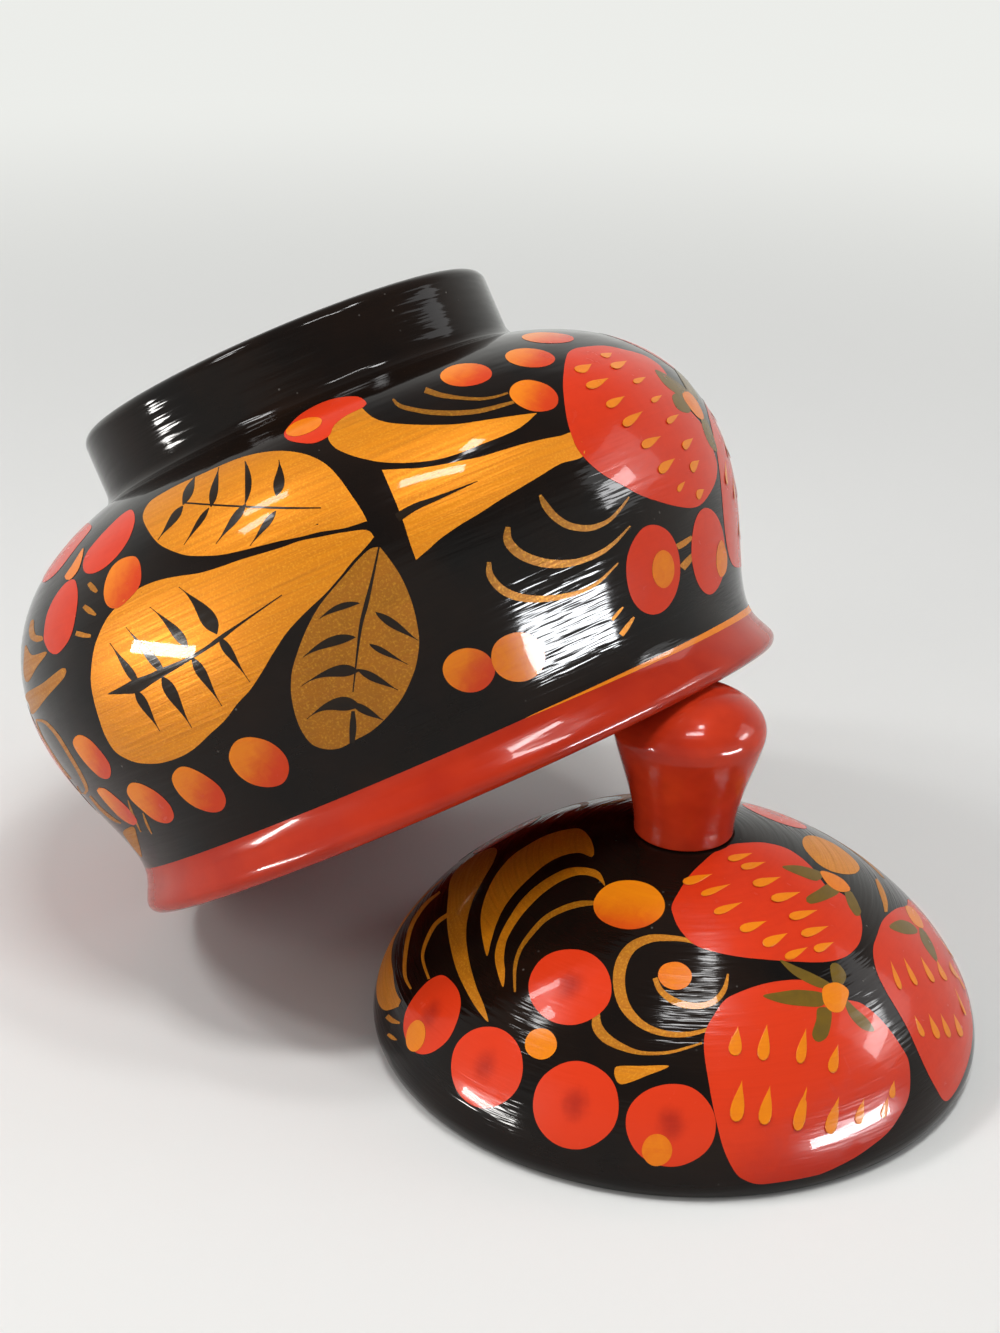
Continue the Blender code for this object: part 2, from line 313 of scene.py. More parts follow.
def runTree(tree, mesh, name, values):
    # evaluates a node tree on a mesh and keeps the result as a plain mesh
    source = bpy.data.objects.new(name + " source", mesh)
    bpy.context.scene.collection.objects.link(source)
    modifier = source.modifiers.new("nodes", "NODES")
    modifier.node_group = tree
    for item in tree.interface.items_tree:
        if item.in_out == "INPUT" and item.name in values:
            modifier[item.identifier] = values[item.name]
    graph = bpy.context.evaluated_depsgraph_get()
    result = bpy.data.meshes.new_from_object(source.evaluated_get(graph), depsgraph=graph)
    source.modifiers.remove(modifier)
    bpy.data.objects.remove(source)
    result.name = name
    result.materials.clear()
    result.materials.append(values["Finish"])
    result.polygons.foreach_set("material_index", [0] * len(result.polygons))
    piece = bpy.data.objects.new(name, result)
    bpy.context.scene.collection.objects.link(piece)
    return piece


def sharpen(mesh, degrees=32.0):
    # points the faces outwards and keeps turned corners crisp
    shell = bmesh.new()
    shell.from_mesh(mesh)
    bmesh.ops.recalc_face_normals(shell, faces=shell.faces)
    limit = math.radians(degrees)
    for edge in shell.edges:
        edge.smooth = not (edge.is_manifold and edge.calc_face_angle(0.0) > limit)
    shell.to_mesh(mesh)
    shell.free()


def markTurned(mesh, back=None):
    # keeps each point's place in the lathe's own frame, in metres, for the finishes
    layer = mesh.attributes.new("turned", "FLOAT_VECTOR", "POINT")
    spots = [back @ vertex.co if back else vertex.co for vertex in mesh.vertices]
    layer.data.foreach_set("vector", [part for spot in spots for part in spot])


def turnPiece(tree, name, profile, steps, finish, place):
    section = bpy.data.meshes.new(name + " section")
    points = [(radius * mm, 0.0, height * mm) for radius, height in profile]
    section.from_pydata(points, [(i, i + 1) for i in range(len(points) - 1)], [])
    piece = runTree(tree, section, name, {"Steps": steps, "Finish": finish})
    markTurned(piece.data)
    piece.data.transform(place)
    sharpen(piece.data)
    return piece


# painted surfaces: a flat map of each turned skin, in millimetres


def makeSurface(kind, outline, place, mesh, reach):
    # rolled-out map for the jar's side, a map round the pole for the dome of the lid
    lengths = [0.0]
    for before, after in zip(outline, outline[1:]):
        lengths.append(lengths[-1] + math.dist(before, after))
    tree = BVHTree.FromPolygons([v.co.copy() for v in mesh.vertices], [p.vertices[:] for p in mesh.polygons])
    back = place.inverted()
    toEye = back @ eye
    return {"kind": kind, "outline": outline, "lengths": lengths, "place": place, "back": back, "tree": tree,
            "front": math.atan2(toEye.y, toEye.x), "reach": reach}


def station(surface, length):
    # radius, height and outward slope of the skin at a length along its outline
    lengths, outline = surface["lengths"], surface["outline"]
    length = min(max(length, lengths[0]), lengths[-1] - 1e-6)
    low, high = 0, len(lengths) - 1
    while high - low > 1:
        middle = (low + high) // 2
        low, high = (middle, high) if lengths[middle] <= length else (low, middle)
    share = (length - lengths[low]) / (lengths[high] - lengths[low])
    (r0, z0), (r1, z1) = outline[low], outline[high]
    before, after = outline[max(low - 1, 0)], outline[min(high + 1, len(outline) - 1)]
    startWay = Vector((r1 - before[0], z1 - before[1])).normalized()
    endWay = Vector((after[0] - r0, after[1] - z0)).normalized()
    way = startWay.lerp(endWay, share).normalized()
    return r0 + (r1 - r0) * share, z0 + (z1 - z0) * share, -way.y, way.x


def lengthAt(surface, spot):
    # length along the outline of a point on the skin, by its height
    outline, lengths = surface["outline"], surface["lengths"]
    height = min(max(spot.z / mm, outline[-1][1]), outline[0][1])
    low, high = 0, len(outline) - 1
    while high - low > 1:
        middle = (low + high) // 2
        low, high = (middle, high) if outline[middle][1] >= height else (low, middle)
    drop = outline[low][1] - outline[high][1]
    share = (outline[low][1] - height) / drop if drop > 1e-9 else 0.0
    return lengths[low] + (lengths[high] - lengths[low]) * share


def flatten(surface, point):
    # the spot on the flat map of a point on the skin
    spot = surface["back"] @ point
    angle = math.atan2(spot.y, spot.x) - surface["front"]
    angle = (angle + math.pi) % math.tau - math.pi
    length = lengthAt(surface, spot)
    if surface["kind"] == "side":
        return Vector((angle * surface["reach"], length))
    radius = length + surface["reach"]
    return Vector((radius * math.cos(angle), radius * math.sin(angle)))


def unflatten(surface, flat, lift):
    # place and outward normal of a spot on the flat map, at a height over the skin
    if surface["kind"] == "side":
        angle, length = flat.x / surface["reach"], flat.y
    else:
        angle, length = math.atan2(flat.y, flat.x), flat.length - surface["reach"]
    angle += surface["front"]
    radius, height, normalOut, normalUp = station(surface, length)
    normal = Vector((normalOut * math.cos(angle), normalOut * math.sin(angle), normalUp))
    spot = Vector((radius * math.cos(angle), radius * math.sin(angle), height)) + normal * lift
    return surface["place"] @ (spot * mm), (surface["place"].to_3x3() @ normal).normalized()


def turnFlat(surface, flat, degrees):
    # the same spot further round the piece
    if surface["kind"] == "side":
        return Vector((flat.x + math.radians(degrees) * surface["reach"], flat.y))
    c, s = math.cos(math.radians(degrees)), math.sin(math.radians(degrees))
    return Vector((flat.x * c - flat.y * s, flat.x * s + flat.y * c))


skyline = {"from": 0.25, "step": 0.005, "steps": 81}  # how far from the eye to look for it, in metres


def spotSeen(surface, x, y):
    # where a place in the photo lies on the skin; past the skyline the map carries on round the far side
    hit = surface["tree"].ray_cast(eye, sightLine(x, y))[0]
    if hit:
        return flatten(surface, hit)
    line = sightLine(x, y)
    distances = (skyline["from"] + skyline["step"] * step for step in range(skyline["steps"]))
    found = [surface["tree"].find_nearest(eye + line * away) for away in distances]
    nearest = min(found, key=lambda spot: spot[3])[0]
    edgeX, edgeY = photoPlace(nearest)
    edge = flatten(surface, nearest)
    inner = surface["tree"].ray_cast(eye, sightLine(2 * edgeX - x, 2 * edgeY - y))[0]
    return edge * 2 - flatten(surface, inner) if inner else edge


# brush shapes, as closed outlines: in photo pixels, or far ones in millimetres on the flat map

brushes = {"pathStep": 2.5, "farStep": 0.7, "farZoom": 4, "thinnest": 0.5, "berryStep": 2.6, "berrySteps": 18,
           "wobble": 0.028, "wobbleSize": 1.3, "veinSteps": 10, "veinSwell": 0.85, "veinTip": 0.7}


def smoothPath(points, closed, spacing=brushes["pathStep"]):
    # a curve through all the points; a point given twice makes a corner
    path, count = [], len(points)
    last = count if closed else count - 1
    for index in range(last):
        if closed:
            a, b, c, d = (points[(index + k) % count] for k in (-1, 0, 1, 2))
        else:
            a, b, c, d = (points[min(max(index + k, 0), count - 1)] for k in (-1, 0, 1, 2))
        gap = math.dist(b[:2], c[:2])
        if gap < 1e-6:
            continue
        steps = max(2, int(gap / spacing))
        for step in range(steps):
            t = step / steps
            path.append(tuple(0.5 * (2 * q + (r - p) * t + (2 * p - 5 * q + 4 * r - s) * t * t
                                     + (3 * q - p - 3 * r + s) * t ** 3)
                              for p, q, r, s in zip(a, b, c, d)))
    if not closed:
        path.append(tuple(points[-1]))
    return path


def blob(*points):
    return smoothPath(points, True)


def oval(x, y, halfWide, halfHigh, tilt=0.0):
    # a round berry, pressed on with a slightly uneven pad
    tiltCos, tiltSin, outline = math.cos(math.radians(tilt)), math.sin(math.radians(tilt)), []
    steps = max(brushes["berrySteps"], int((halfWide + halfHigh) * math.pi / brushes["berryStep"]))
    for step in range(steps):
        angle = math.tau * step / steps
        c, s = math.cos(angle), math.sin(angle)
        wobble = noise.noise((c * brushes["wobbleSize"] + x, s * brushes["wobbleSize"] + y, 0.0))
        swell = 1.0 + brushes["wobble"] * wobble
        across, down = halfWide * c * swell, halfHigh * s * swell
        outline.append((x + across * tiltCos - down * tiltSin, y + across * tiltSin + down * tiltCos))
    return outline


def stroke(*points):
    # a brush stroke through x, y, width
    path = smoothPath(points, False)
    left, right = [], []
    for index, (x, y, width) in enumerate(path):
        before, after = path[max(index - 1, 0)], path[min(index + 1, len(path) - 1)]
        way = Vector((after[0] - before[0], after[1] - before[1]))
        if way.length < 1e-6:
            continue
        side = Vector((-way.y, way.x)).normalized() * max(width, brushes["thinnest"]) / 2
        left.append((x + side.x, y + side.y))
        right.append((x - side.x, y - side.y))
    return left + right[::-1]


def farBlob(*points):
    return smoothPath(points, True, brushes["farStep"])


def farStroke(*points):
    # drawn larger, so that its path is as fine as one drawn over the photo
    zoom = brushes["farZoom"]
    larger = [tuple(zoom * part for part in spot) for spot in points]
    return [(x / zoom, y / zoom) for x, y in stroke(*larger)]


def vein(tipX, tipY, rootX, rootY, width, bend=0.0, heavy=0.7):
    # a stroke with a long fine tip, fattest at its heavy place near the root
    alongX, alongY = rootX - tipX, rootY - tipY
    peak = math.log(0.5) / math.log(heavy)
    spots = []
    for step in range(brushes["veinSteps"] + 1):
        t = step / brushes["veinSteps"]
        bow = 4 * t * (1 - t) * bend
        swell = max(math.sin(math.pi * t ** peak), 0.0) ** brushes["veinSwell"]
        spots.append((tipX + alongX * t - alongY * bow, tipY + alongY * t + alongX * bow,
                      max(width * swell, brushes["veinTip"])))
    return stroke(*spots)


# coats of paint: closed thin patches that follow the skin, in millimetres

coatSet = {"sink": 0.05, "edgeGap": 0.12, "clear": 0.45, "rowStep": 0.866, "spacing": 1.7}
lifts = {"gold": 0.035, "red": 0.050, "berry": 0.050, "smudged": 0.050, "vein": 0.060, "green": 0.068,
         "seed": 0.075, "orange": 0.082}  # how far each paint stands over the skin
once = (0,)
coats = {}


def inside(outline, x, y):
    # whether a spot lies within a closed outline
    hit = False
    for (x0, y0), (x1, y1) in zip(outline, outline[1:] + outline[:1]):
        if (y0 > y) != (y1 > y) and x < (x1 - x0) * (y - y0) / (y1 - y0) + x0:
            hit = not hit
    return hit


def fillPoints(outline, spacing):
    # a triangular lattice inside an outline, kept clear of its edge
    low = [min(p[k] for p in outline) for k in (0, 1)]
    high = [max(p[k] for p in outline) for k in (0, 1)]
    clear = spacing * coatSet["clear"]
    points, row, y = [], 0, low[1] + spacing / 2
    while y < high[1]:
        x = low[0] + spacing * (0.25 + 0.5 * (row % 2))
        while x < high[0]:
            nearest = min((p[0] - x) ** 2 + (p[1] - y) ** 2 for p in outline)
            if inside(outline, x, y) and nearest > clear ** 2:
                points.append((x, y))
            x += spacing
        y += spacing * coatSet["rowStep"]
        row += 1
    return points


def addPatch(coatName, surface, outline, lift, tone, spacing=coatSet["spacing"]):
    # adds one patch to its coat: a top along the skin, a bottom sunk into it and a wall between
    coat = coats.setdefault(coatName, {"points": [], "faces": [], "normals": [], "tones": [],
                                       "surface": surface})
    edge = []
    for spot in outline:
        if not edge or (Vector(spot) - Vector(edge[-1])).length > coatSet["edgeGap"]:
            edge.append(tuple(spot))
    if len(edge) > 2 and (Vector(edge[0]) - Vector(edge[-1])).length < coatSet["edgeGap"]:
        edge.pop()
    if len(edge) < 3:
        return
    inner = fillPoints(edge, spacing)
    spots = [Vector(p) for p in edge + inner]
    rim = [(i, (i + 1) % len(edge)) for i in range(len(edge))]
    flats, _, triangles, _, _, _ = delaunay_2d_cdt(spots, rim, [list(range(len(edge)))], 1, 1e-5)
    sides = {(a, b): True for triangle in triangles for a, b in zip(triangle, triangle[1:] + triangle[:1])}
    border = [(a, b) for a, b in sides if (b, a) not in sides]
    base, count = len(coat["points"]), len(flats)
    tops, bottoms, normals = [], [], []
    for flat in flats:
        top, normal = unflatten(surface, flat, lift)
        tops.append(top)
        normals.append(normal)
        bottoms.append(top - normal * (lift + coatSet["sink"]) * mm)
        coat["tones"].append(tone(flat) if callable(tone) else tone)
    coat["tones"] += coat["tones"][-count:]
    coat["points"] += tops + bottoms
    a, b, c = triangles[0][:3]
    flip = (tops[b] - tops[a]).cross(tops[c] - tops[a]).dot(normals[a]) < 0
    faces, faceNormals = [], []
    for triangle in triangles:
        order = triangle[::-1] if flip else triangle
        faces.append([base + i for i in order])
        faceNormals.append([normals[i] for i in order])
        faces.append([base + count + i for i in order[::-1]])
        faceNormals.append([-normals[i] for i in order[::-1]])
    for a, b in border:
        first, second = (b, a) if flip else (a, b)
        ring = [base + second, base + first, base + count + first, base + count + second]
        side = (tops[first] - tops[second]).cross(normals[first]).normalized()
        faces.append(ring)
        faceNormals.append([side] * 4)
    coat["faces"] += faces
    coat["normals"] += [n for group in faceNormals for n in group]


def buildCoat(coatName, finish, body):
    coat = coats[coatName]
    mesh = bpy.data.meshes.new(coatName)
    mesh.from_pydata([p[:] for p in coat["points"]], [], coat["faces"])
    mesh.materials.append(finish)
    mesh.shade_smooth()
    mesh.attributes.new("tone", "FLOAT", "POINT").data.foreach_set("value", coat["tones"])
    markTurned(mesh, coat["surface"]["back"])
    mesh.normals_split_custom_set([n[:] for n in coat["normals"]])
    piece = bpy.data.objects.new(coatName, mesh)
    bpy.context.scene.collection.objects.link(piece)
    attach(piece, body)
    return piece


def acrossTone(start, end):
    # tone that rises from one spot to another
    way = end - start
    return lambda flat: min(max((flat - start).dot(way) / way.length_squared, 0.0), 1.0)


def middleTone(outline):
    # tone that rises from the middle to half-way out
    centre = sum(outline, Vector((0.0, 0.0))) / len(outline)
    reach = sum((p - centre).length for p in outline) / len(outline)
    return lambda flat: min((flat - centre).length / (reach * 0.5), 1.0)


def layShape(coatName, flat, tone, turns, spacing):
    part, kind = coatName.split("_")[:2]
    surface = painted[part]
    for degrees in turns:
        shifted = [turnFlat(surface, p, degrees) for p in flat]
        shade = tone
        if isinstance(tone, tuple):
            shade = acrossTone(*(turnFlat(surface, p, degrees) for p in tone))
        elif tone == "middle":
            shade = middleTone(shifted)
        addPatch(coatName, surface, shifted, lifts[kind], shade, spacing)


def paint(coatName, outlines, tone, turns=once, spacing=coatSet["spacing"]):
    # lays brush shapes drawn over the photo, and their repeats further round the piece
    surface = painted[coatName.split("_")[0]]
    if isinstance(tone, tuple):
        tone = tuple(spotSeen(surface, *p) for p in tone)
    for outline in outlines:
        layShape(coatName, [spotSeen(surface, x, y) for x, y in outline], tone, turns, spacing)


def paintFar(coatName, outlines, tone, turns=once, spacing=coatSet["spacing"]):
    # lays shapes that go on round the far side, drawn in millimetres on the flat map itself
    for outline in outlines:
        layShape(coatName, [Vector(p) for p in outline], tone, turns, spacing)


# finishes

grain = {"slant": 0.35, "blotchSize": 55.0, "ringWrap": 34.0, "rippleWrap": 70.0,
         "rippleRun": 760.0, "dustSize": 420.0, "dustCore": (0.05, 0.11), "dustPatches": (0.56, 0.62)}


def noiseOver(tree, place, scale, detail, roughness=0.5, distortion=0.0):
    return addNode(tree, "ShaderNodeTexNoise", {"Vector": place, "Scale": scale, "Detail": detail,
                                                "Roughness": roughness, "Distortion": distortion}).outputs[0]


def turningMarks():
    # faint rings left by the lathe, blotches in the coat and dust under it
    tree = bpy.data.node_groups.new("turning marks", "ShaderNodeTree")
    newSocket(tree, "Place", "Vector")
    for name in ("Fineness", "Slant", "Blotch Size"):
        newSocket(tree, name, "Float")
    for name in ("Rings", "Ripples", "Blotches", "Specks"):
        newSocket(tree, name, "Float", "OUTPUT")
    given = addNode(tree, "NodeGroupInput").outputs
    spot = axes(tree, given["Place"])
    flat = vectorOf(tree, spot["X"], spot["Y"])
    radius = addNode(tree, "ShaderNodeVectorMath", {0: flat}, operation="LENGTH").outputs["Value"]
    run = calc(tree, "SUBTRACT", spot["Z"], calc(tree, "MULTIPLY", radius, given["Slant"]))

    def ringPlace(wrap, fineness):
        # a place that changes quickly along the outline and slowly round the axis
        around = [calc(tree, "MULTIPLY", spot[axis], wrap) for axis in ("X", "Y")]
        return vectorOf(tree, *around, calc(tree, "MULTIPLY", run, fineness))

    blotches = noiseOver(tree, given["Place"], given["Blotch Size"], detail=3.0, roughness=0.55)
    cells = {"Vector": given["Place"], "Scale": grain["dustSize"]}
    dust = addNode(tree, "ShaderNodeTexVoronoi", cells, feature="F1").outputs["Distance"]
    specks = spread(tree, dust, 1.0, 0.0, *grain["dustCore"])
    rare = spread(tree, blotches, 0.0, 1.0, *grain["dustPatches"])
    ringSpot = ringPlace(grain["ringWrap"], given["Fineness"])
    rippleSpot = ringPlace(grain["rippleWrap"], grain["rippleRun"])
    addNode(tree, "NodeGroupOutput", {
        "Rings": noiseOver(tree, ringSpot, 1.0, detail=3.0, roughness=0.6),
        "Ripples": noiseOver(tree, rippleSpot, 1.0, detail=2.0),
        "Blotches": blotches, "Specks": calc(tree, "MULTIPLY", specks, rare)})
    return tree


def brushMarks():
    # two tones of one paint, blended by the piece's own tone and streaked by the brush
    tree = bpy.data.node_groups.new("brush marks", "ShaderNodeTree")
    newSocket(tree, "Place", "Vector")
    newSocket(tree, "Tone", "Float")
    newSocket(tree, "Light Colour", "Color")
    newSocket(tree, "Deep Colour", "Color")
    newSocket(tree, "Streak Size", "Float")
    newSocket(tree, "Streak Strength", "Float")
    newSocket(tree, "Colour", "Color", "OUTPUT")
    newSocket(tree, "Streaks", "Float", "OUTPUT")
    given = addNode(tree, "NodeGroupInput").outputs
    streaks = noiseOver(tree, given["Place"], given["Streak Size"], detail=4.0, roughness=0.62,
                        distortion=0.6)
    sway = calc(tree, "MULTIPLY", calc(tree, "SUBTRACT", streaks, 0.5), given["Streak Strength"])
    blend = calc(tree, "ADD", given["Tone"], sway)
    soft = spread(tree, blend, 0.0, 1.0, 0.0, 1.0, interpolation_type="SMOOTHSTEP")
    colour = blendColours(tree, soft, given["Light Colour"], given["Deep Colour"])
    addNode(tree, "NodeGroupOutput", {"Colour": colour, "Streaks": streaks})
    return tree


marksGroup = turningMarks()
brushGroup = brushMarks()


def startFinish(name, settings):
    # a material whose patterns follow the lathe's own frame
    material = bpy.data.materials.new(name)
    material.use_nodes = True
    tree = material.node_tree
    shader = tree.nodes["Principled BSDF"]
    for key, value in settings.items():
        shader.inputs[key].default_value = value
    place = addNode(tree, "ShaderNodeAttribute", attribute_name="turned").outputs["Vector"]
    return material, tree, shader, place


def marks(tree, place, fineness, slant=grain["slant"], blotchSize=grain["blotchSize"]):
    inputs = {"Place": place, "Fineness": fineness, "Slant": slant, "Blotch Size": blotchSize}
    return addNode(tree, "ShaderNodeGroup", inputs, node_tree=marksGroup).outputs


def brush(tree, place, light, deep, size, strength):
    tone = addNode(tree, "ShaderNodeAttribute", attribute_name="tone").outputs["Fac"]
    inputs = {"Place": place, "Tone": tone, "Light Colour": (*light, 1.0), "Deep Colour": (*deep, 1.0),
              "Streak Size": size, "Streak Strength": strength}
    return addNode(tree, "ShaderNodeGroup", inputs, node_tree=brushGroup).outputs


def raiseSurface(tree, shader, mark, ringShare, distance):
    # the coat follows the ripples of the turned wood, with its fine rings on top
    height = calc(tree, "ADD", mark["Ripples"], calc(tree, "MULTIPLY", mark["Rings"], ringShare))
    bump = addNode(tree, "ShaderNodeBump", {"Height": height, "Strength": 1.0, "Distance": distance})
    tree.links.new(bump.outputs[0], shader.inputs["Normal"])


# the knob's red is lighter than the lip's red lacquer: painted light, for the overhead light on the knob's
# head
lacquer = {"black": (0.0040, 0.0030, 0.0026, 1.0), "brown": (0.014, 0.0065, 0.0035, 1.0),
           "dust": (0.10, 0.09, 0.08, 1.0), "red": (0.47, 0.030, 0.0075, 1.0),
           "litKnobRed": (0.62, 0.045, 0.012, 1.0), "deepRed": (0.36, 0.018, 0.006, 1.0),
           "brownShare": 0.75, "deepShare": 0.8, "blackRough": (0.05, 0.12), "redRough": (0.10, 0.24),
           "blackFineness": 1900.0, "redFineness": 1500.0, "redBlotch": 90.0,
           "blackRings": 0.06, "redRings": 0.08, "blackBump": 0.00012, "redBump": 0.00008}
blackShine = {"Specular IOR Level": 0.16, "IOR": 1.5}
redShine = {"Coat Weight": 0.20, "Coat Roughness": 0.03, "Specular IOR Level": 0.10, "IOR": 1.5}


def blackLacquer(name, slant):
    material, tree, shader, place = startFinish(name, blackShine)
    mark = marks(tree, place, lacquer["blackFineness"], slant)
    brown = spread(tree, mark["Blotches"], 0.0, lacquer["brownShare"])
    colour = blendColours(tree, brown, lacquer["black"], lacquer["brown"])
    colour = blendColours(tree, mark["Specks"], colour, lacquer["dust"])
    tree.links.new(colour, shader.inputs["Base Color"])
    tree.links.new(spread(tree, mark["Rings"], *lacquer["blackRough"]), shader.inputs["Roughness"])
    raiseSurface(tree, shader, mark, lacquer["blackRings"], lacquer["blackBump"])
    return material


def redLacquer(name, slant, red):
    material, tree, shader, place = startFinish(name, redShine)
    mark = marks(tree, place, lacquer["redFineness"], slant, lacquer["redBlotch"])
    deep = spread(tree, mark["Blotches"], 0.0, lacquer["deepShare"])
    colour = blendColours(tree, deep, red, lacquer["deepRed"])
    tree.links.new(colour, shader.inputs["Base Color"])
    tree.links.new(spread(tree, mark["Rings"], *lacquer["redRough"]), shader.inputs["Roughness"])
    raiseSurface(tree, shader, mark, lacquer["redRings"], lacquer["redBump"])
    return material


# grit and lines: least and greatest share, then the stretch of their pattern that it is spread over
paintSet = {"goldLight": (0.68, 0.222, 0.003), "goldDeep": (0.215, 0.082, 0.004),
            "goldLine": (0.30, 0.085, 0.003, 1.0), "goldGrit": (0.90, 0.45, 0.03, 1.0),
            "red": (0.68, 0.041, 0.009), "redDeep": (0.50, 0.022, 0.006),
            "orange": (0.80, 0.22, 0.010), "berryRed": (0.60, 0.045, 0.008), "smudge": (0.41, 0.021, 0.008),
            "green": (0.19, 0.110, 0.012), "greenDeep": (0.11, 0.070, 0.010),
            "spot": (0.82, 0.24, 0.006), "spotDeep": (0.62, 0.075, 0.007),
            "dark": (0.022, 0.012, 0.005), "darkDeep": (0.008, 0.005, 0.0035),
            "gritSize": 2600.0, "grit": (0.0, 0.35, 0.5, 0.8), "goldRough": (0.40, 0.56),
            "goldFineness": 2100.0, "goldBlotch": 80.0, "goldStreaks": (150.0, 0.25),
            "goldLines": (0.0, 0.42, 0.42, 0.72), "goldRings": 0.5, "goldBump": 0.00012,
            "paintRough": (0.16, 0.28), "paintFineness": 1800.0, "paintLines": (0.0, 0.16, 0.45, 0.75),
            "paintRings": 0.08, "paintBump": 0.00009}
goldShine = {"Coat Weight": 0.22, "Coat Roughness": 0.04, "Metallic": 0.25, "Specular IOR Level": 0.12,
             "IOR": 1.5}
paintShine = {"Coat Weight": 0.16, "Coat Roughness": 0.03, "Specular IOR Level": 0.10, "IOR": 1.5}


def goldPaint():
    # metal powder under a warm coat, with the wood's turning lines showing through
    material, tree, shader, place = startFinish("gold paint", goldShine)
    mark = marks(tree, place, paintSet["goldFineness"], blotchSize=paintSet["goldBlotch"])
    tone = brush(tree, place, paintSet["goldLight"], paintSet["goldDeep"], *paintSet["goldStreaks"])
    lines = spread(tree, mark["Rings"], *paintSet["goldLines"])
    colour = blendColours(tree, lines, tone["Colour"], paintSet["goldLine"])
    grit = spread(tree, noiseOver(tree, place, paintSet["gritSize"], detail=2.0), *paintSet["grit"])
    colour = blendColours(tree, grit, colour, paintSet["goldGrit"])
    tree.links.new(colour, shader.inputs["Base Color"])
    tree.links.new(spread(tree, mark["Rings"], *paintSet["goldRough"]), shader.inputs["Roughness"])
    raiseSurface(tree, shader, mark, paintSet["goldRings"], paintSet["goldBump"])
    return material


def brushPaint(name, light, deep, size, strength):
    # enamel laid on with a brush, from a light to a deep tone
    light, deep = paintSet[light], paintSet[deep]
    material, tree, shader, place = startFinish(name, paintShine)
    mark = marks(tree, place, paintSet["paintFineness"])
    tone = brush(tree, place, light, deep, size, strength)
    lines = spread(tree, mark["Rings"], *paintSet["paintLines"])
    tree.links.new(blendColours(tree, lines, tone["Colour"], (*deep, 1.0)), shader.inputs["Base Color"])
    tree.links.new(spread(tree, tone["Streaks"], *paintSet["paintRough"]), shader.inputs["Roughness"])
    raiseSurface(tree, shader, mark, paintSet["paintRings"], paintSet["paintBump"])
    return material


jarBlack = blackLacquer("black lacquer, jar", slant=grain["slant"])
lidBlack = blackLacquer("black lacquer, lid", slant=1.0)
jarRed = redLacquer("red lacquer, lip and inside", slant=grain["slant"], red=lacquer["red"])
# the knob's lacquer is a lighter copy of the lip's red: painted light on the knob's head
litKnobRed = redLacquer("red lacquer, knob, painted lighter", slant=0.2, red=lacquer["litKnobRed"])
# each paint's light and deep tone, then the size and strength of its brush streaks
paints = {"gold": goldPaint(),
          "red": brushPaint("red paint", "red", "redDeep", 300.0, 0.5),
          "berry": brushPaint("berry paint", "orange", "berryRed", 420.0, 0.55),
          "smudged": brushPaint("smudged berry paint", "smudge", "red", 420.0, 0.5),
          "orange": brushPaint("orange paint", "spot", "spotDeep", 500.0, 0.5),
          "green": brushPaint("green paint", "green", "greenDeep", 350.0, 0.9),
          "vein": brushPaint("dark vein paint", "dark", "darkDeep", 600.0, 0.9)}
print("finishes ready")

# the three turned pieces

lathe = turnTree()
lidLow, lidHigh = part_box("lid")
lidPlace = Matrix.Translation(((lidLow.x + lidHigh.x) / 2, (lidLow.y + lidHigh.y) / 2, lidLow.z))
knobPlace = lidPlace @ Matrix.Translation((0.0, 0.0, knob["height"] * mm))


def leaningPlace():
    # the jar's own frame, with its mouth tipped down towards the knob
    heading, tilt = math.radians(jar["heading"]), math.radians(jar["tilt"])
    lean = Vector((math.cos(heading), math.sin(heading), 0.0))
    up = Vector((0.0, 0.0, 1.0))
    down = -(lean * math.sin(tilt) + up * math.cos(tilt))
    along = lean * math.cos(tilt) - up * math.sin(tilt)
    turn = Matrix((along, down.cross(along), down)).transposed().to_4x4()
    return Matrix.Translation(jar["footPlace"]) @ turn


jarPlace = leaningPlace()
jarSection, redRows, jarSide = jarProfile()
lidSection, lidDome = lidProfile()

jarSkin = turnPiece(lathe, "jar_skin", jarSection, jar["steps"], jarBlack, jarPlace)
jarSkin.data.materials.append(jarRed)
rowMarks = jarSkin.data.attributes["row"].data
for face in jarSkin.data.polygons:
    if sum(rowMarks[i].value for i in face.vertices) / len(face.vertices) < redRows:
        face.material_index = 1
lidSkin = turnPiece(lathe, "lid_skin", lidSection, lid["steps"], lidBlack, lidPlace)
knobSkin = turnPiece(lathe, "knob_skin", knobProfile(), knob["steps"], litKnobRed, knobPlace)
slots = {"jar": "body_lacquer", "lid": "lid_lacquer", "knob": "knob_lacquer"}
skins = ((jarSkin, "jar_body", "jar", slots["jar"]), (lidSkin, "lid", "lid", slots["lid"]),
         (knobSkin, "knob", "lid", slots["knob"]))
for piece, node, body, slot in skins:
    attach(piece, body)
    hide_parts(node)
    print("turned", piece.name, len(piece.data.polygons), "faces")

jarFace = makeSurface("side", jarSide, jarPlace, jarSkin.data, jar["mapRadius"])
lidFace = makeSurface("dome", lidDome, lidPlace, lidSkin.data, lid["landing"])
painted = {"jar": jarFace, "lid": lidFace}


# the jar's painting; numbers are places in the photo, in pixels

jarTurns = (0, 180)  # the seen half comes again on the far half
tones = {"faint": 0.88, "stroke": 0.62, "vein": 0.5, "red": 0.3, "rightRed": 0.35, "spot": 0.35,
         "farSpot": 0.3, "green": 0.45, "line": 0.2, "seed": 0.2}  # how deep each paint is
spacings = {"fine": 1.2, "berry": 1.3, "lidRed": 1.1}  # closer points, in millimetres, for small shapes

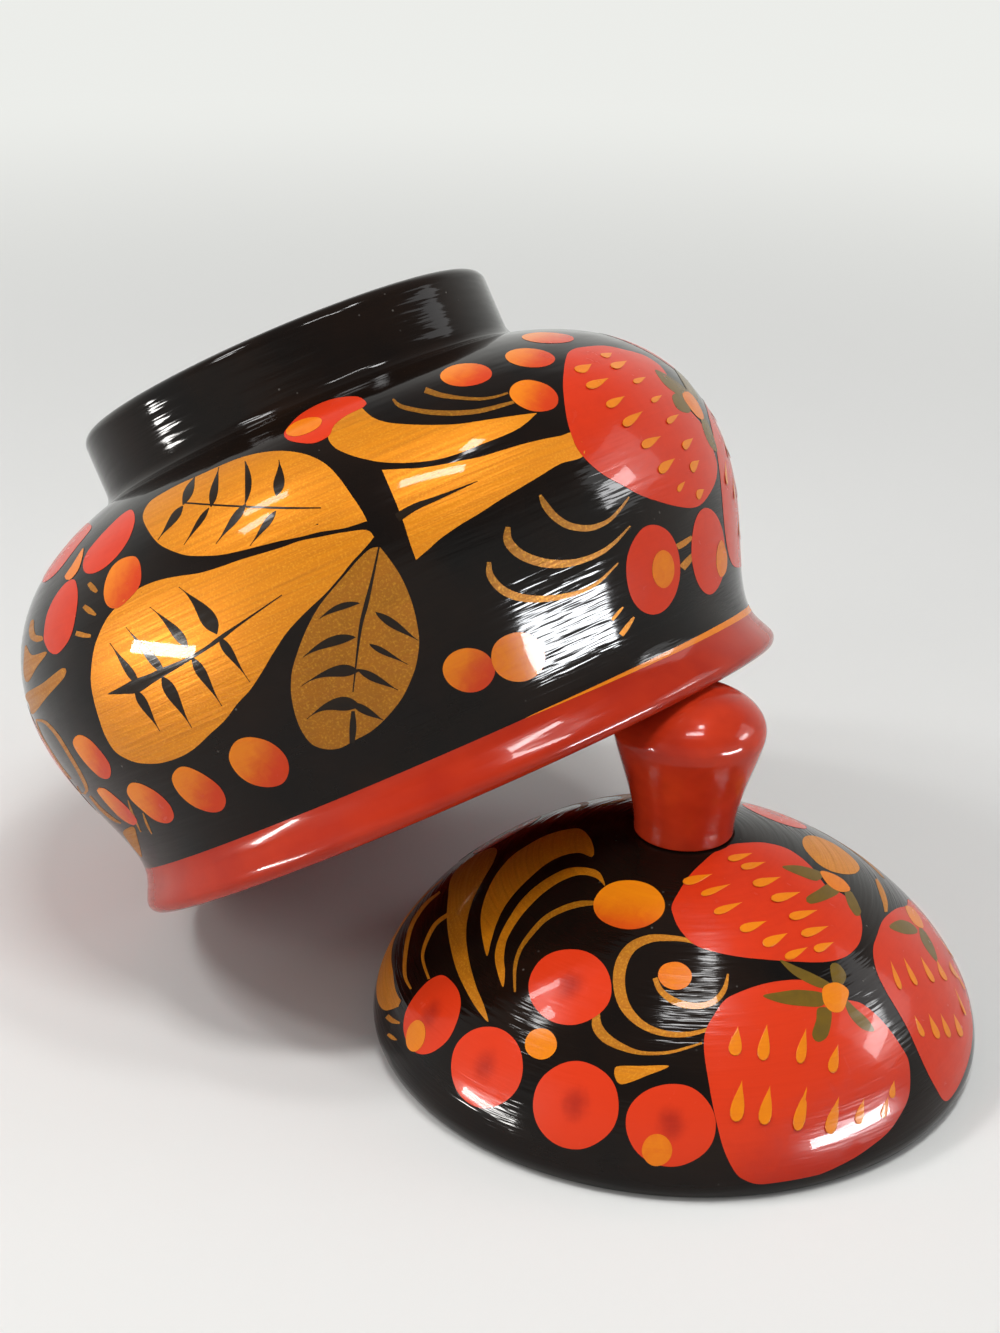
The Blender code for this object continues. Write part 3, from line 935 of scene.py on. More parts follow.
longLeaf = blob((143, 516), (150, 502), (165, 492), (180, 484), (200, 475), (220, 466), (240, 458),
                (260, 453), (280, 451), (300, 453), (315, 458), (328, 466), (340, 479), (352, 496),
                (362, 511), (367, 521), (367, 521), (345, 528), (320, 532), (300, 537), (280, 541),
                (260, 546), (240, 551), (220, 555), (200, 556), (185, 555), (170, 550), (158, 543),
                (148, 530))
broadLeaf = blob((140, 588), (160, 580), (180, 576), (200, 573), (220, 567), (240, 560), (260, 554),
                 (280, 548), (300, 541), (320, 537), (340, 533), (366, 530), (374, 537), (374, 537),
                 (365, 548), (352, 562), (340, 577), (325, 594), (310, 608), (296, 622), (285, 635),
                 (272, 655), (262, 672), (250, 690), (238, 703), (225, 720), (210, 734), (195, 748),
                 (180, 757), (160, 763), (140, 763), (125, 758), (114, 750), (105, 735), (99, 718),
                 (94, 700), (91, 680), (93, 655), (98, 637), (108, 617), (122, 602))
bronzeLeaf = blob((380, 547), (380, 547), (390, 560), (400, 575), (408, 592), (414, 610), (418, 630),
                  (419, 645), (416, 665), (410, 682), (402, 698), (393, 710), (382, 722), (370, 732),
                  (355, 740), (340, 748), (325, 749), (312, 744), (303, 733), (297, 720), (293, 705),
                  (291, 690), (292, 672), (296, 657), (302, 640), (310, 622), (320, 605), (332, 590),
                  (345, 575), (358, 560), (370, 549))
wedge = blob((382, 470), (382, 470), (400, 469), (420, 468), (440, 465), (460, 461), (480, 457), (500, 451),
             (520, 445), (540, 440), (560, 436), (576, 433), (584, 455), (560, 464), (540, 476), (520, 488),
             (500, 500), (480, 513), (460, 525), (440, 539), (430, 548), (416, 560), (416, 560), (410, 543),
             (403, 521), (394, 498))
lens = blob((328, 437), (334, 426), (346, 416), (362, 408), (362, 408), (372, 417), (385, 422), (400, 424),
            (420, 425), (440, 425), (460, 424), (480, 421), (500, 418), (520, 415), (537, 413), (537, 413),
            (525, 424), (510, 433), (480, 445), (460, 453), (440, 459), (420, 462), (400, 463), (380, 462),
            (360, 458), (345, 453), (334, 447))
for leaf, tone in ((longLeaf, 0.20), (broadLeaf, 0.22), (bronzeLeaf, 0.70), (wedge, 0.12), (lens, 0.15)):
    paint("jar_gold_paint", [leaf], tone, jarTurns)

faintStrokes = (
    stroke((393, 399, 2), (400, 406, 4), (420, 411, 4.5), (440, 413, 5), (460, 413, 5), (480, 411, 4.5),
           (500, 406, 4), (514, 402, 3)),
    stroke((425, 390, 6), (440, 395, 5), (460, 398, 3.5), (480, 399, 3), (495, 397, 2.5), (508, 393, 2)),
    stroke((540, 495, 3), (545, 505, 7), (555, 517, 7.5), (570, 526, 7), (590, 528, 6), (608, 521, 4),
           (620, 509, 3), (629, 497, 1.5)),
    stroke((508, 527, 5), (508, 541, 9), (520, 554, 9.5), (540, 562, 9), (560, 564, 8), (580, 561, 6),
           (600, 553, 5), (615, 542, 3.5), (630, 526, 1.5)),
    stroke((489, 562, 4), (490, 575, 7), (500, 588, 8), (515, 596, 8), (535, 599, 7), (560, 597, 5.5),
           (585, 590, 4), (602, 579, 3), (618, 563, 1.5)))
goldStrokes = (
    stroke((677, 547, 6), (684, 543, 6), (692, 537, 4)), stroke((682, 568, 7), (687, 562, 7), (693, 555, 5)),
    stroke((621, 635, 5), (627, 627, 5), (634, 617, 2)),
    stroke((612, 620, 3), (618, 613, 3), (623, 607, 1.5)), stroke((89, 583, 4), (93, 588, 6), (97, 592, 3)),
    stroke((84, 606, 4), (90, 611, 6), (96, 615, 2)), stroke((76, 633, 5), (83, 635, 5), (91, 636, 3)),
    stroke((128, 800, 1), (133, 815, 2.5), (141, 832, 1)),
    stroke((143, 813, 1), (147, 824, 2.5), (152, 834, 1)))
paint("jar_gold_paint", faintStrokes, tones["faint"], jarTurns, spacings["fine"])
paint("jar_gold_paint", goldStrokes, tones["stroke"], jarTurns, spacings["fine"])

leftStrokes = (
    blob((31, 621), (29, 631), (31, 639), (37, 642), (43, 640), (42, 636), (36, 635), (34, 628), (34, 620)),
    blob((24, 657), (26, 645), (32, 655), (47, 652), (37, 667), (28, 682), (24, 675)),
    blob((26, 694), (43, 683), (63, 668), (65, 676), (47, 697), (33, 714), (29, 704)),
    stroke((36, 720, 2), (45, 722, 3), (57, 735, 3.5), (70, 756, 3.5), (82, 777, 3.5), (87, 790, 3),
           (82, 794, 2), (77, 786, 1)),
    stroke((36, 721, 1), (41, 734, 1.4), (49, 748, 1.6), (58, 762, 1)),
    stroke((52, 752, 0.8), (60, 766, 3), (71, 779, 1.2)),
    stroke((90, 796, 2), (100, 808, 3), (113, 819, 3), (121, 823, 1.5)),
    blob((123, 832), (128, 828), (134, 827), (138, 840), (142, 857), (136, 851), (129, 842)))
paint("jar_gold_paint", leftStrokes, tones["stroke"], once, spacings["fine"])

# the left strokes again as they go on round the far side, in millimetres on the rolled-out map
farStrokes = (
    farStroke((69.2, 53.9, 1.2), (74, 55.6, 2.2), (80, 58.4, 2.6), (87, 62, 2.4), (94, 64.5, 1.8),
              (100, 65, 0.8)),
    farStroke((69.4, 50.9, 0.8), (76, 50.4, 2.6), (84, 50.3, 4.4), (92, 51.6, 5), (98, 53, 3),
              (102, 54, 0.8)),
    farStroke((63.5, 46.6, 0.8), (70, 45.4, 2), (78, 44.6, 2.6), (88, 44.6, 3.2), (96, 44.4, 2.4),
              (102, 43.6, 0.8)),
    farStroke((93, 42, 0.5), (84.5, 38, 1.0), (79.6, 32, 1.3), (79.6, 26, 0.9)),
    farStroke((94, 41.6, 0.5), (91, 35, 1.0), (87.5, 29.5, 1.1), (81, 25.4, 0.8)),
    farStroke((87.5, 36.5, 0.4), (86, 33, 1.6), (84.4, 29, 0.4)),
    farStroke((87.8, 24, 0.6), (86.5, 20, 1.0), (83.5, 17.6, 1.2), (79, 16.3, 0.9)),
    farBlob((76.5, 14.3), (80, 16), (86, 15.2), (92, 12.6), (98, 8.6), (92, 9.3), (85, 11), (79.5, 12.6)))
paintFar("jar_gold_paint", farStrokes, tones["stroke"], (180,), spacings["fine"])

# leaf veins: tip, root and width, then bend and the place where a vein is fattest
veins = (
    vein(195, 477, 183, 505, 9, 0, 0.55), vein(219, 467, 211, 507, 8, 0, 0.65),
    vein(245, 461, 245, 504, 6.5, -0.08, 0.5), vein(279, 460, 276, 496, 11, -0.06, 0.65),
    vein(158, 540, 183, 506, 8), vein(184, 545, 209, 508, 5.5), vein(216, 544, 246, 504, 8),
    vein(250, 546, 276, 511, 7), stroke((185, 503, 1.6), (230, 506, 1.8), (280, 508, 2.2), (321, 508, 1.2)),
    vein(179, 587, 217, 634, 16, -0.06, 0.72), vein(150, 607, 188, 648, 10, -0.04, 0.72),
    vein(126, 627, 165, 674, 9), vein(110, 643, 139, 685, 8), vein(250, 682, 219, 637, 9, 0, 0.75),
    vein(222, 706, 192, 657, 10, 0, 0.72), vein(192, 728, 162, 676, 12, 0, 0.72),
    vein(160, 731, 135, 689, 9),
    stroke((108, 694, 0.8), (123, 690, 8), (136, 686, 14), (150, 679, 10), (165, 671, 8), (185, 661, 4.5),
           (205, 649, 3.5), (222, 637, 4.5), (240, 624, 2.5), (282, 595, 1)),
    vein(319, 619, 360, 603, 6.5, -0.08, 0.6), vein(302, 658, 356, 637, 10, -0.08, 0.65),
    vein(300, 687, 359, 671, 12, -0.1, 0.75), vein(307, 719, 360, 706, 14, -0.14, 0.72),
    vein(398, 690, 357, 669, 8, 0, 0.65), vein(383, 720, 350, 702, 8, 0, 0.6),
    vein(419, 641, 375, 612, 8.5, 0, 0.65), vein(409, 665, 369, 644, 6),
    stroke((379, 547, 1.6), (372, 580, 3), (366, 605, 4.5), (361, 625, 3.5), (357, 655, 2), (353, 692, 1.2)),
    stroke((353, 711, 3.5), (353, 727, 7), (352, 743, 5)),
    stroke((397, 518, 9), (415, 507, 7), (440, 497, 4), (478, 481, 0.6)))
paint("jar_vein_paint", veins, tones["vein"], jarTurns, spacings["fine"])

redShapes = (
    blob((284, 434), (290, 425), (300, 415), (315, 406), (330, 400), (345, 397), (358, 397), (366, 402),
         (364, 407), (346, 416), (334, 426), (329, 436), (315, 443), (300, 443), (288, 440)),
    blob((566, 358), (572, 350), (585, 347), (605, 346), (625, 350), (645, 356), (662, 368), (671, 384),
         (680, 400), (692, 413), (702, 425), (709, 439), (714, 453), (717, 467), (715, 482), (708, 496),
         (700, 505), (690, 508), (675, 506), (660, 502), (640, 495), (620, 484), (605, 476), (590, 464),
         (578, 450), (572, 437), (567, 420), (564, 400), (563, 380)),
    oval(653, 570, 27, 45, 2), oval(708, 551, 17, 43, -2),
    blob((83, 565), (87, 553), (97, 540), (110, 526), (123, 514), (132, 510), (135, 520), (130, 537),
         (120, 553), (107, 566), (95, 573), (86, 573)),
    blob((44, 635), (47, 615), (55, 597), (66, 583), (75, 580), (78, 595), (76, 615), (72, 633), (66, 645),
         (57, 654), (50, 652), (45, 643)))
paint("jar_red_paint", redShapes, tones["red"], jarTurns)

# a strawberry past the right edge, with fruit and leaves beside it, in millimetres on the rolled-out map
farStrawberry = farBlob((-81.5, 15.3), (-77.6, 19), (-76.6, 24.5), (-77.8, 30.5), (-80.6, 36.5),
                        (-84.2, 41.3), (-89.5, 44.8), (-96, 46.8), (-102, 48.2), (-106, 48.5), (-110, 45.5),
                        (-116, 44.5), (-121, 41.5), (-123.5, 36), (-122, 29), (-117, 22.5), (-109, 17.5),
                        (-100, 14.8), (-91, 14.2))
farPetals = (
    farBlob((-86.5, 63), (-88, 57), (-92, 52.5), (-98, 51.5), (-105, 54), (-110, 59), (-111.5, 65),
            (-108, 70), (-101, 72), (-93, 70.5), (-88, 67.5)),
    farBlob((64, 74.5), (66, 70.5), (70, 67), (76, 66), (84, 67), (92, 70.5), (97, 75), (95, 79), (88, 80.5),
            (79, 80), (70, 77.5)))
paintFar("jar_red_paint", (farStrawberry, *farPetals), tones["red"], jarTurns)
farSpots = (
    farBlob((-97.5, 62), (-98.5, 66), (-101, 67.5), (-103.5, 66), (-104.5, 62), (-103.5, 58), (-101, 56.5),
            (-98.5, 58)),
    farBlob((-107.8, 46.5), (-109, 49), (-111.2, 50), (-113.4, 49), (-114.6, 46.5), (-113.4, 44),
            (-111.2, 43), (-109, 44)))
paintFar("jar_orange_paint", farSpots, tones["farSpot"], jarTurns, spacings["fine"])
farGreens = (
    farBlob((-82, 47.5), (-85, 51.5), (-91, 54.5), (-96, 54), (-92, 50.5), (-87, 47)),
    farBlob((-109, 46), (-104, 45), (-98, 40), (-104, 41), (-109, 43)),
    farBlob((-110.5, 45), (-108.5, 40), (-109.5, 34.5), (-112.5, 39.5), (-112.5, 44.5)),
    farBlob((-112, 45), (-116, 42), (-120, 37), (-115.5, 38.5), (-111.5, 43)),
    farBlob((-111, 49), (-107, 52), (-103, 53), (-106, 49.5), (-109, 47)))
paintFar("jar_green_paint", farGreens, tones["green"], jarTurns, spacings["fine"])

berryShade = {"fromX": 0.42, "toX": 0.36, "y": 0.25}  # shares of a berry's width and height


def berryEnds(outline):
    # from the upper left, where a berry is orange, to the lower right, where it is red
    across, down = [p[0] for p in outline], [p[1] for p in outline]
    x, y = sum(across) / len(outline), sum(down) / len(outline)
    wide, high = max(across) - min(across), max(down) - min(down)
    return ((x - wide * berryShade["fromX"], y - high * berryShade["y"]),
            (x + wide * berryShade["toX"], y + high * berryShade["y"]))


berries = (
    oval(469, 670, 26, 22, 5), oval(466, 375, 26, 11.5, -4), oval(530, 358, 25, 9.5, 4),
    oval(548, 338, 26, 5.5, 2), oval(534, 396, 25, 15, 14),
    blob((229, 757), (235, 742), (250, 737), (270, 742), (285, 755), (289, 770), (283, 783), (268, 787),
         (250, 783), (236, 772)),
    blob((172, 778), (178, 768), (188, 767), (205, 775), (220, 787), (226, 800), (222, 810), (210, 812),
         (192, 805), (178, 792)),
    blob((127, 790), (131, 783), (142, 784), (158, 793), (170, 805), (174, 817), (168, 823), (155, 820),
         (140, 808), (130, 798)),
    blob((97, 790), (104, 788), (115, 796), (128, 808), (137, 820), (134, 825), (122, 819), (108, 805)),
    blob((73, 742), (78, 735), (88, 738), (100, 750), (110, 765), (110, 777), (102, 778), (90, 768),
         (78, 753)),
    blob((104, 595), (106, 580), (113, 566), (124, 558), (136, 557), (141, 568), (140, 585), (130, 598),
         (118, 608), (108, 606)))
for berry in berries:
    paint("jar_berry_paint", [berry], berryEnds(berry), jarTurns, spacings["berry"])

jarSpots = (
    oval(518, 657, 27, 25, 0), oval(304, 427, 19, 7.5, -20), oval(663, 569, 11, 19, 0),
    blob((717, 548), (721, 540), (725, 548), (727, 560), (725, 573), (720, 577), (716, 565)),
    blob((682, 394), (688, 392), (697, 402), (703, 415), (702, 420), (695, 415), (686, 403)),
    blob((65, 577), (72, 566), (80, 553), (84, 548), (82, 560), (78, 571), (70, 580)))
paint("jar_orange_paint", jarSpots, tones["spot"], jarTurns, spacings["fine"])

jarGreens = (
    blob((655, 370), (668, 376), (682, 386), (690, 394), (684, 398), (672, 391), (662, 382)),
    blob((672, 396), (680, 393), (688, 401), (690, 412), (682, 412), (675, 406)),
    blob((700, 414), (706, 420), (713, 436), (717, 452), (710, 446), (703, 430)))
paint("jar_green_paint", jarGreens, tones["green"], jarTurns, spacings["fine"])

# a thin orange line along the red band: places round the jar, and its width there, in millimetres
lineSpots = ((-290, 0.02), (-200, 0.5), (-150, 0.8), (-86, 1.15), (-50, 0.85), (-31, 0.45), (-14, 0.02))
lineSet = {"steps": 160, "overlap": 0.08}


def lineWidth(across):
    for (x0, w0), (x1, w1) in zip(lineSpots, lineSpots[1:]):
        if across <= x1:
            return w0 + (w1 - w0) * (across - x0) / (x1 - x0)
    return lineSpots[-1][1]


def paintLine():
    start, end = lineSpots[0][0], lineSpots[-1][0]
    places = [start + (end - start) * step / lineSet["steps"] for step in range(lineSet["steps"] + 1)]
    bandEdge = jarFace["lengths"][jar["arc"] - 1]
    outline = [Vector((x, bandEdge - lineWidth(x))) for x in places]
    outline += [Vector((x, bandEdge + lineSet["overlap"])) for x in reversed(places)]
    addPatch("jar_orange_paint", jarFace, outline, lifts["gold"], tones["line"])


paintLine()

# head, tail and width of each seed
jarSeeds = (
    (576, 372, 592, 364, 8), (602, 357, 612, 353, 4), (611, 368, 627, 361, 6), (586, 388, 609, 378, 8),
    (633, 383, 646, 377, 5), (606, 407, 625, 396, 9), (651, 402, 662, 395, 6), (622, 426, 643, 411, 10),
    (666, 423, 679, 414, 7), (641, 447, 661, 436, 10), (682, 448, 693, 438, 8), (658, 472, 675, 458, 10),
    (690, 470, 699, 460, 8), (677, 491, 685, 481, 5), (696, 497, 704, 489, 7))
farSeedSet = {"x": -84.5, "y": 15.8, "alongX": -0.711, "alongY": 0.703, "length": 6, "width": 1.9}
farSeedPlaces = ((7, -1), (8, 12.5), (10, 6), (13, -8), (15, 1), (18, 9), (20, -5), (21, -13), (23, 4),
                 (27, -10), (26, 11), (28, -2), (24, -18))  # along and beside the far strawberry's axis


def farSeedSpot(along, beside):
    s = farSeedSet
    return (s["x"] + s["alongX"] * along + s["alongY"] * beside,
            s["y"] + s["alongY"] * along - s["alongX"] * beside)


farSeeds = [(farSeedSpot(along, beside), farSeedSpot(along + farSeedSet["length"], beside),
             farSeedSet["width"]) for along, beside in farSeedPlaces]
print("jar's painting drawn")

# the lid's painting: each shape with its tone and the turns at which it comes again at the back

twice, behindToo = (0, -92), (0, 130)
# the golds' tones are set lighter where the jar shades the lid: painted light in their colour
lidGolds = (
    (stroke((440, 892, 2), (425, 905, 3.5), (412, 925, 4), (406, 950, 4), (405, 975, 3.5), (411, 989, 2)),
     0.4, twice),
    (stroke((449, 914, 4), (435, 925, 4), (425, 945, 3.5), (423, 960, 3), (429, 979, 2.5)), 0.4, twice),
    (blob((487, 956), (482, 935), (481, 915), (486, 895), (496, 875), (510, 858), (525, 847), (545, 836),
          (565, 830), (580, 829), (590, 838), (594, 850), (592, 857), (580, 853), (565, 855), (548, 863),
          (532, 876), (516, 892), (504, 908), (496, 925), (491, 942)), 0.25, once),
    (blob((503, 987), (497, 970), (495, 955), (499, 938), (508, 920), (520, 902), (535, 887), (553, 875),
          (570, 868), (588, 868), (600, 873), (605, 886), (596, 878), (580, 875), (562, 881), (545, 892),
          (530, 906), (517, 922), (507, 940), (504, 958), (505, 972)), 0.35, twice),
    (stroke((596, 903, 4), (580, 904, 6), (563, 909, 6), (545, 919, 5.5), (530, 935, 5), (520, 950, 4),
            (515, 968, 3.5), (515, 992, 2)), 0.65, twice),
    (stroke((712, 951, 2), (690, 941, 4), (668, 938, 6), (649, 939, 8), (632, 947, 10), (622, 962, 12),
            (619, 982, 12), (623, 1002, 11), (633, 1017, 9), (648, 1028, 7), (668, 1034, 6), (690, 1034, 5),
            (712, 1028, 3)), 0.6, once),
    (stroke((655, 978, 5), (661, 991, 6), (676, 1002, 7), (696, 1006, 6), (713, 1002, 6), (724, 990, 5),
            (728, 974, 2)), 0.65, once),
    (stroke((597, 1013, 6), (597, 1026, 10), (606, 1038, 10), (622, 1047, 7), (642, 1053, 4), (671, 1052, 3),
            (702, 1043, 2)), 0.6, once),
    (blob((615, 1068), (621, 1066), (640, 1066), (669, 1066), (646, 1076), (631, 1082), (620, 1084),
          (615, 1077)), 0.3, once),
    (stroke((876, 879, 2), (881, 890, 5), (885, 902, 5), (886, 912, 3)), 0.45, once),
    (stroke((387, 1016, 5), (393, 1021, 5), (400, 1023, 2)), 0.6, twice),
    (stroke((388, 1034, 3), (393, 1038, 4), (397, 1040, 1)), 0.6, twice))
for outline, tone, turns in lidGolds:
    paint("lid_gold_paint", [outline], tone, turns, spacings["berry"])
farGolds = (
    (farStroke((24.2, -57.5, 1.2), (20, -61, 4.5), (14, -63.3, 6.5), (6, -65, 6.5), (-2, -64.5, 5),
               (-8, -60.5, 3.8), (-11, -55, 3), (-11.5, -50, 2)), 0.3, twice),
    (farBlob((40, -35.2), (36.3, -37.8), (31.7, -40.1), (26.2, -42.3), (18.9, -44.2), (10.8, -45.6),
             (1.6, -46.4), (-6, -47), (-11, -46), (-13, -43), (-12, -39), (-8, -36.6), (-2, -36.6), (3, -38),
             (8, -39.6), (13, -40.5), (18.5, -40.6), (25.2, -39.6), (31.6, -37.9), (36.4, -36.1)), 0.5,
     twice),
    (farBlob((-4.6, 22.6), (-0.5, 25), (0.2, 28), (-2, 31.5), (-6, 34), (-10.6, 34.8), (-14.5, 33),
             (-16.5, 29.5), (-14.5, 25.5), (-10, 23)), 0.2, once),
    (farStroke((-15, 41, 1), (-21, 38, 3), (-26.5, 33, 4), (-30, 27, 3.6), (-31, 20, 1.2)), 0.55, once))
for outline, tone, turns in farGolds:
    paintFar("lid_gold_paint", [outline], tone, turns, spacings["berry"])

lidBerries = (
    (blob((445, 976), (457, 988), (461, 1003), (457, 1022), (448, 1040), (433, 1052), (420, 1054),
          (410, 1047), (404, 1032), (405, 1015), (412, 1000), (424, 985), (435, 977)), twice),
    (oval(487, 1067, 36, 41, 6), twice), (oval(576, 1105, 43, 44, 0), once),
    (oval(671, 1125, 45, 41.5, 0), behindToo), (oval(570, 987, 41.5, 38, 0), twice))
for outline, turns in lidBerries:
    paint("lid_smudged_paint", [outline], "middle", turns, spacings["berry"])

# a berry behind the knob, of which only the near edge is seen
backBerry = {"x": 758, "y": 812, "further": 5.5, "halfWide": 7.2, "halfHigh": 6.6, "points": 12}


def paintBackBerry():
    s = backBerry
    centre = spotSeen(lidFace, s["x"], s["y"])
    centre *= 1.0 + s["further"] / centre.length
    angles = [math.tau * step / s["points"] for step in range(s["points"])]
    points = [(centre.x + s["halfWide"] * math.cos(angle), centre.y + s["halfHigh"] * math.sin(angle))
              for angle in angles]
    paintFar("lid_smudged_paint", [farBlob(*points)], "middle", once, spacings["berry"])


paintBackBerry()

frontStrawberry = blob((704, 1050), (706, 1030), (714, 1015), (725, 1000), (740, 992), (760, 985),
                       (780, 981), (800, 980), (815, 984), (828, 992), (842, 999), (860, 1003), (875, 1014),
                       (888, 1028), (900, 1045), (908, 1060), (910, 1080), (908, 1098), (900, 1115),
                       (888, 1132), (870, 1147), (850, 1160), (820, 1174), (790, 1181), (760, 1184),
                       (745, 1180), (735, 1172), (724, 1150), (716, 1120), (710, 1090))
upperStrawberry = blob((672, 905), (680, 890), (690, 875), (703, 862), (715, 852), (730, 845), (745, 843),
                       (765, 843), (785, 848), (800, 857), (813, 869), (826, 886), (842, 894), (855, 905),
                       (860, 915), (862, 930), (858, 945), (845, 957), (825, 962), (800, 962), (770, 960),
                       (740, 957), (715, 952), (695, 945), (680, 930), (673, 915))
rightStrawberry = farBlob((12.3, 37.9), (17, 37.1), (21.4, 38), (24.6, 40.3), (27.1, 43.4), (29.4, 46.5),
                          (31.8, 49.4), (33.8, 52.7), (34.8, 56.3), (34.7, 60.3), (32, 63), (25, 65.5),
                          (15, 67.3), (5, 67.6), (-5, 66), (-13, 62), (-18, 56.5), (-19, 51), (-15, 47.5),
                          (-8, 46), (-1, 42.5), (6.5, 39.3))
# the front strawberry deepens to a darker red towards its lower edge: painted shade on its lower part
paint("lid_red_paint", [frontStrawberry], ((780, 1085), (800, 1190)), once, spacings["lidRed"])
paint("lid_red_paint", [upperStrawberry], tones["red"], once, spacings["lidRed"])
paintFar("lid_red_paint", [rightStrawberry], tones["rightRed"], once, spacings["lidRed"])

lidSpots = (
    (oval(416, 1036, 9.5, 16, 12), 0.2, twice), (oval(657, 1150, 15, 16, 0), 0.4, behindToo),
    (oval(541, 1044, 16, 15.5, 0), 0.2, twice), (oval(675, 976, 17, 14, 10), 0.4, once),
    (blob((822, 990), (828, 984), (838, 983), (848, 990), (847, 1000), (842, 1011), (832, 1012),
          (824, 1004)), 0.2, once),
    (blob((820, 872), (830, 873), (843, 880), (850, 890), (840, 892), (828, 885)), 0.3, once),
    (blob((905, 906), (912, 908), (920, 918), (923, 928), (915, 925), (908, 915)), 0.2, once))
for outline, tone, turns in lidSpots:
    paint("lid_orange_paint", [outline], tone, turns, spacings["fine"])
paint("lid_orange_paint", [oval(629, 905, 35.5, 24.5, 0)], ((630, 893), (618, 930)), once, spacings["fine"])

lidGreens = (
    blob((763, 996), (780, 992), (800, 990), (824, 994), (822, 1006), (800, 1006), (780, 1003)),
    blob((818, 1008), (831, 1011), (828, 1035), (818, 1042), (812, 1035), (816, 1020)),
    blob((780, 960), (795, 966), (815, 975), (830, 984), (820, 988), (800, 979), (788, 970)),
    blob((830, 966), (838, 964), (846, 975), (842, 985), (834, 986)),
    blob((844, 998), (855, 1008), (868, 1020), (874, 1031), (862, 1029), (849, 1015)),
    blob((782, 867), (800, 866), (822, 873), (817, 881), (800, 876)),
    blob((829, 884), (839, 892), (826, 900), (810, 904), (806, 898), (818, 890)),
    blob((844, 889), (852, 893), (861, 912), (856, 916), (848, 905)),
    blob((889, 927), (900, 920), (913, 925), (917, 933), (904, 934)),
    blob((919, 928), (925, 932), (934, 948), (937, 962), (928, 952), (921, 940)))
paint("lid_green_paint", lidGreens, tones["green"], once, spacings["fine"])

lidSeeds = (
    (734, 1056, 738, 1026, 13), (762, 1061, 767, 1024, 12), (799, 1064, 806, 1028, 10),
    (831, 1073, 838, 1044, 10), (735, 1122, 742, 1080, 13), (763, 1125, 770, 1085, 12),
    (796, 1131, 807, 1086, 11), (828, 1134, 839, 1096, 11), (857, 1124, 864, 1098, 8),
    (882, 1118, 888, 1096, 6), (891, 1098, 894, 1080, 6), (728, 861, 753, 853, 7), (741, 869, 766, 862, 7),
    (753, 886, 781, 877, 9), (771, 901, 801, 892, 9), (683, 884, 713, 874, 9), (701, 896, 731, 884, 7),
    (714, 914, 743, 902, 8), (740, 931, 767, 921, 10), (763, 946, 788, 933, 11), (789, 919, 818, 910, 9),
    (801, 936, 829, 926, 9), (785, 959, 808, 947, 9), (814, 951, 834, 942, 9), (900, 990, 890, 960, 5),
    (916, 986, 903, 957, 5), (933, 983, 920, 956, 5), (945, 981, 936, 959, 5), (955, 977, 949, 961, 4),
    (923, 1037, 914, 1015, 5), (938, 1039, 928, 1013, 6), (949, 1038, 940, 1013, 5),
    (961, 1037, 953, 1013, 5))
farLidSeeds = [((10, 63), (6, 58.5), 1.7), ((0, 63.5), (-2, 58.5), 1.7), ((-9, 60.5), (-10, 55.5), 1.6)]
print("lid's painting drawn")

seedSet = {"sides": 18, "rings": 10, "taper": 0.9, "plump": 0.7, "thick": 0.00002}


def seedTree():
    # strews flat tear drops over points, each along its own aim on the skin
    tree = bpy.data.node_groups.new("strew seeds", "GeometryNodeTree")
    newSocket(tree, "Spots", "Geometry")
    newSocket(tree, "Sides", "Int", value=seedSet["sides"])
    newSocket(tree, "Rings", "Int", value=seedSet["rings"])
    newSocket(tree, "Taper", "Float", value=seedSet["taper"])
    newSocket(tree, "Finish", "Material")
    newSocket(tree, "Seeds", "Geometry", "OUTPUT")
    given = addNode(tree, "NodeGroupInput").outputs
    ball = addNode(tree, "GeometryNodeMeshUVSphere", {"Segments": given["Sides"], "Rings": given["Rings"],
                                                      "Radius": 1.0}).outputs["Mesh"]
    spot = axes(tree, addNode(tree, "GeometryNodeInputPosition").outputs[0])
    share = calc(tree, "MULTIPLY", calc(tree, "SUBTRACT", 1.0, spot["X"]), 0.5)
    narrow = calc(tree, "POWER", share, given["Taper"])
    shape = vectorOf(tree, spot["X"], calc(tree, "MULTIPLY", spot["Y"], narrow), spot["Z"])
    drop = addNode(tree, "GeometryNodeSetPosition", {"Geometry": ball, "Position": shape}).outputs[0]
    kept = {name: addNode(tree, "GeometryNodeInputNamedAttribute", {"Name": name},
                          data_type="FLOAT_VECTOR").outputs["Attribute"] for name in ("aim", "out", "size")}
    ways = {"Primary Axis": kept["aim"], "Secondary Axis": kept["out"]}
    turn = addNode(tree, "FunctionNodeAxesToRotation", ways, primary_axis="X", secondary_axis="Z").outputs[0]
    strewn = addNode(tree, "GeometryNodeInstanceOnPoints", {"Points": given["Spots"], "Instance": drop,
                                                            "Rotation": turn, "Scale": kept["size"]})
    finishTree(tree, strewn.outputs[0], given["Finish"], "Seeds")
    return tree


def seenSeed(surface, headX, headY, tailX, tailY, wide):
    # ends and width, on the flat map, of a seed drawn over the photo
    head, tail = spotSeen(surface, headX, headY), spotSeen(surface, tailX, tailY)
    nudge = 0.1  # share of the seed's length, to measure the map's scale beside its head
    aside = spotSeen(surface, headX + (tailY - headY) * nudge, headY - (tailX - headX) * nudge)
    scale = (aside - head).length / (nudge * math.dist((headX, headY), (tailX, tailY)))
    return head, tail, scale * wide


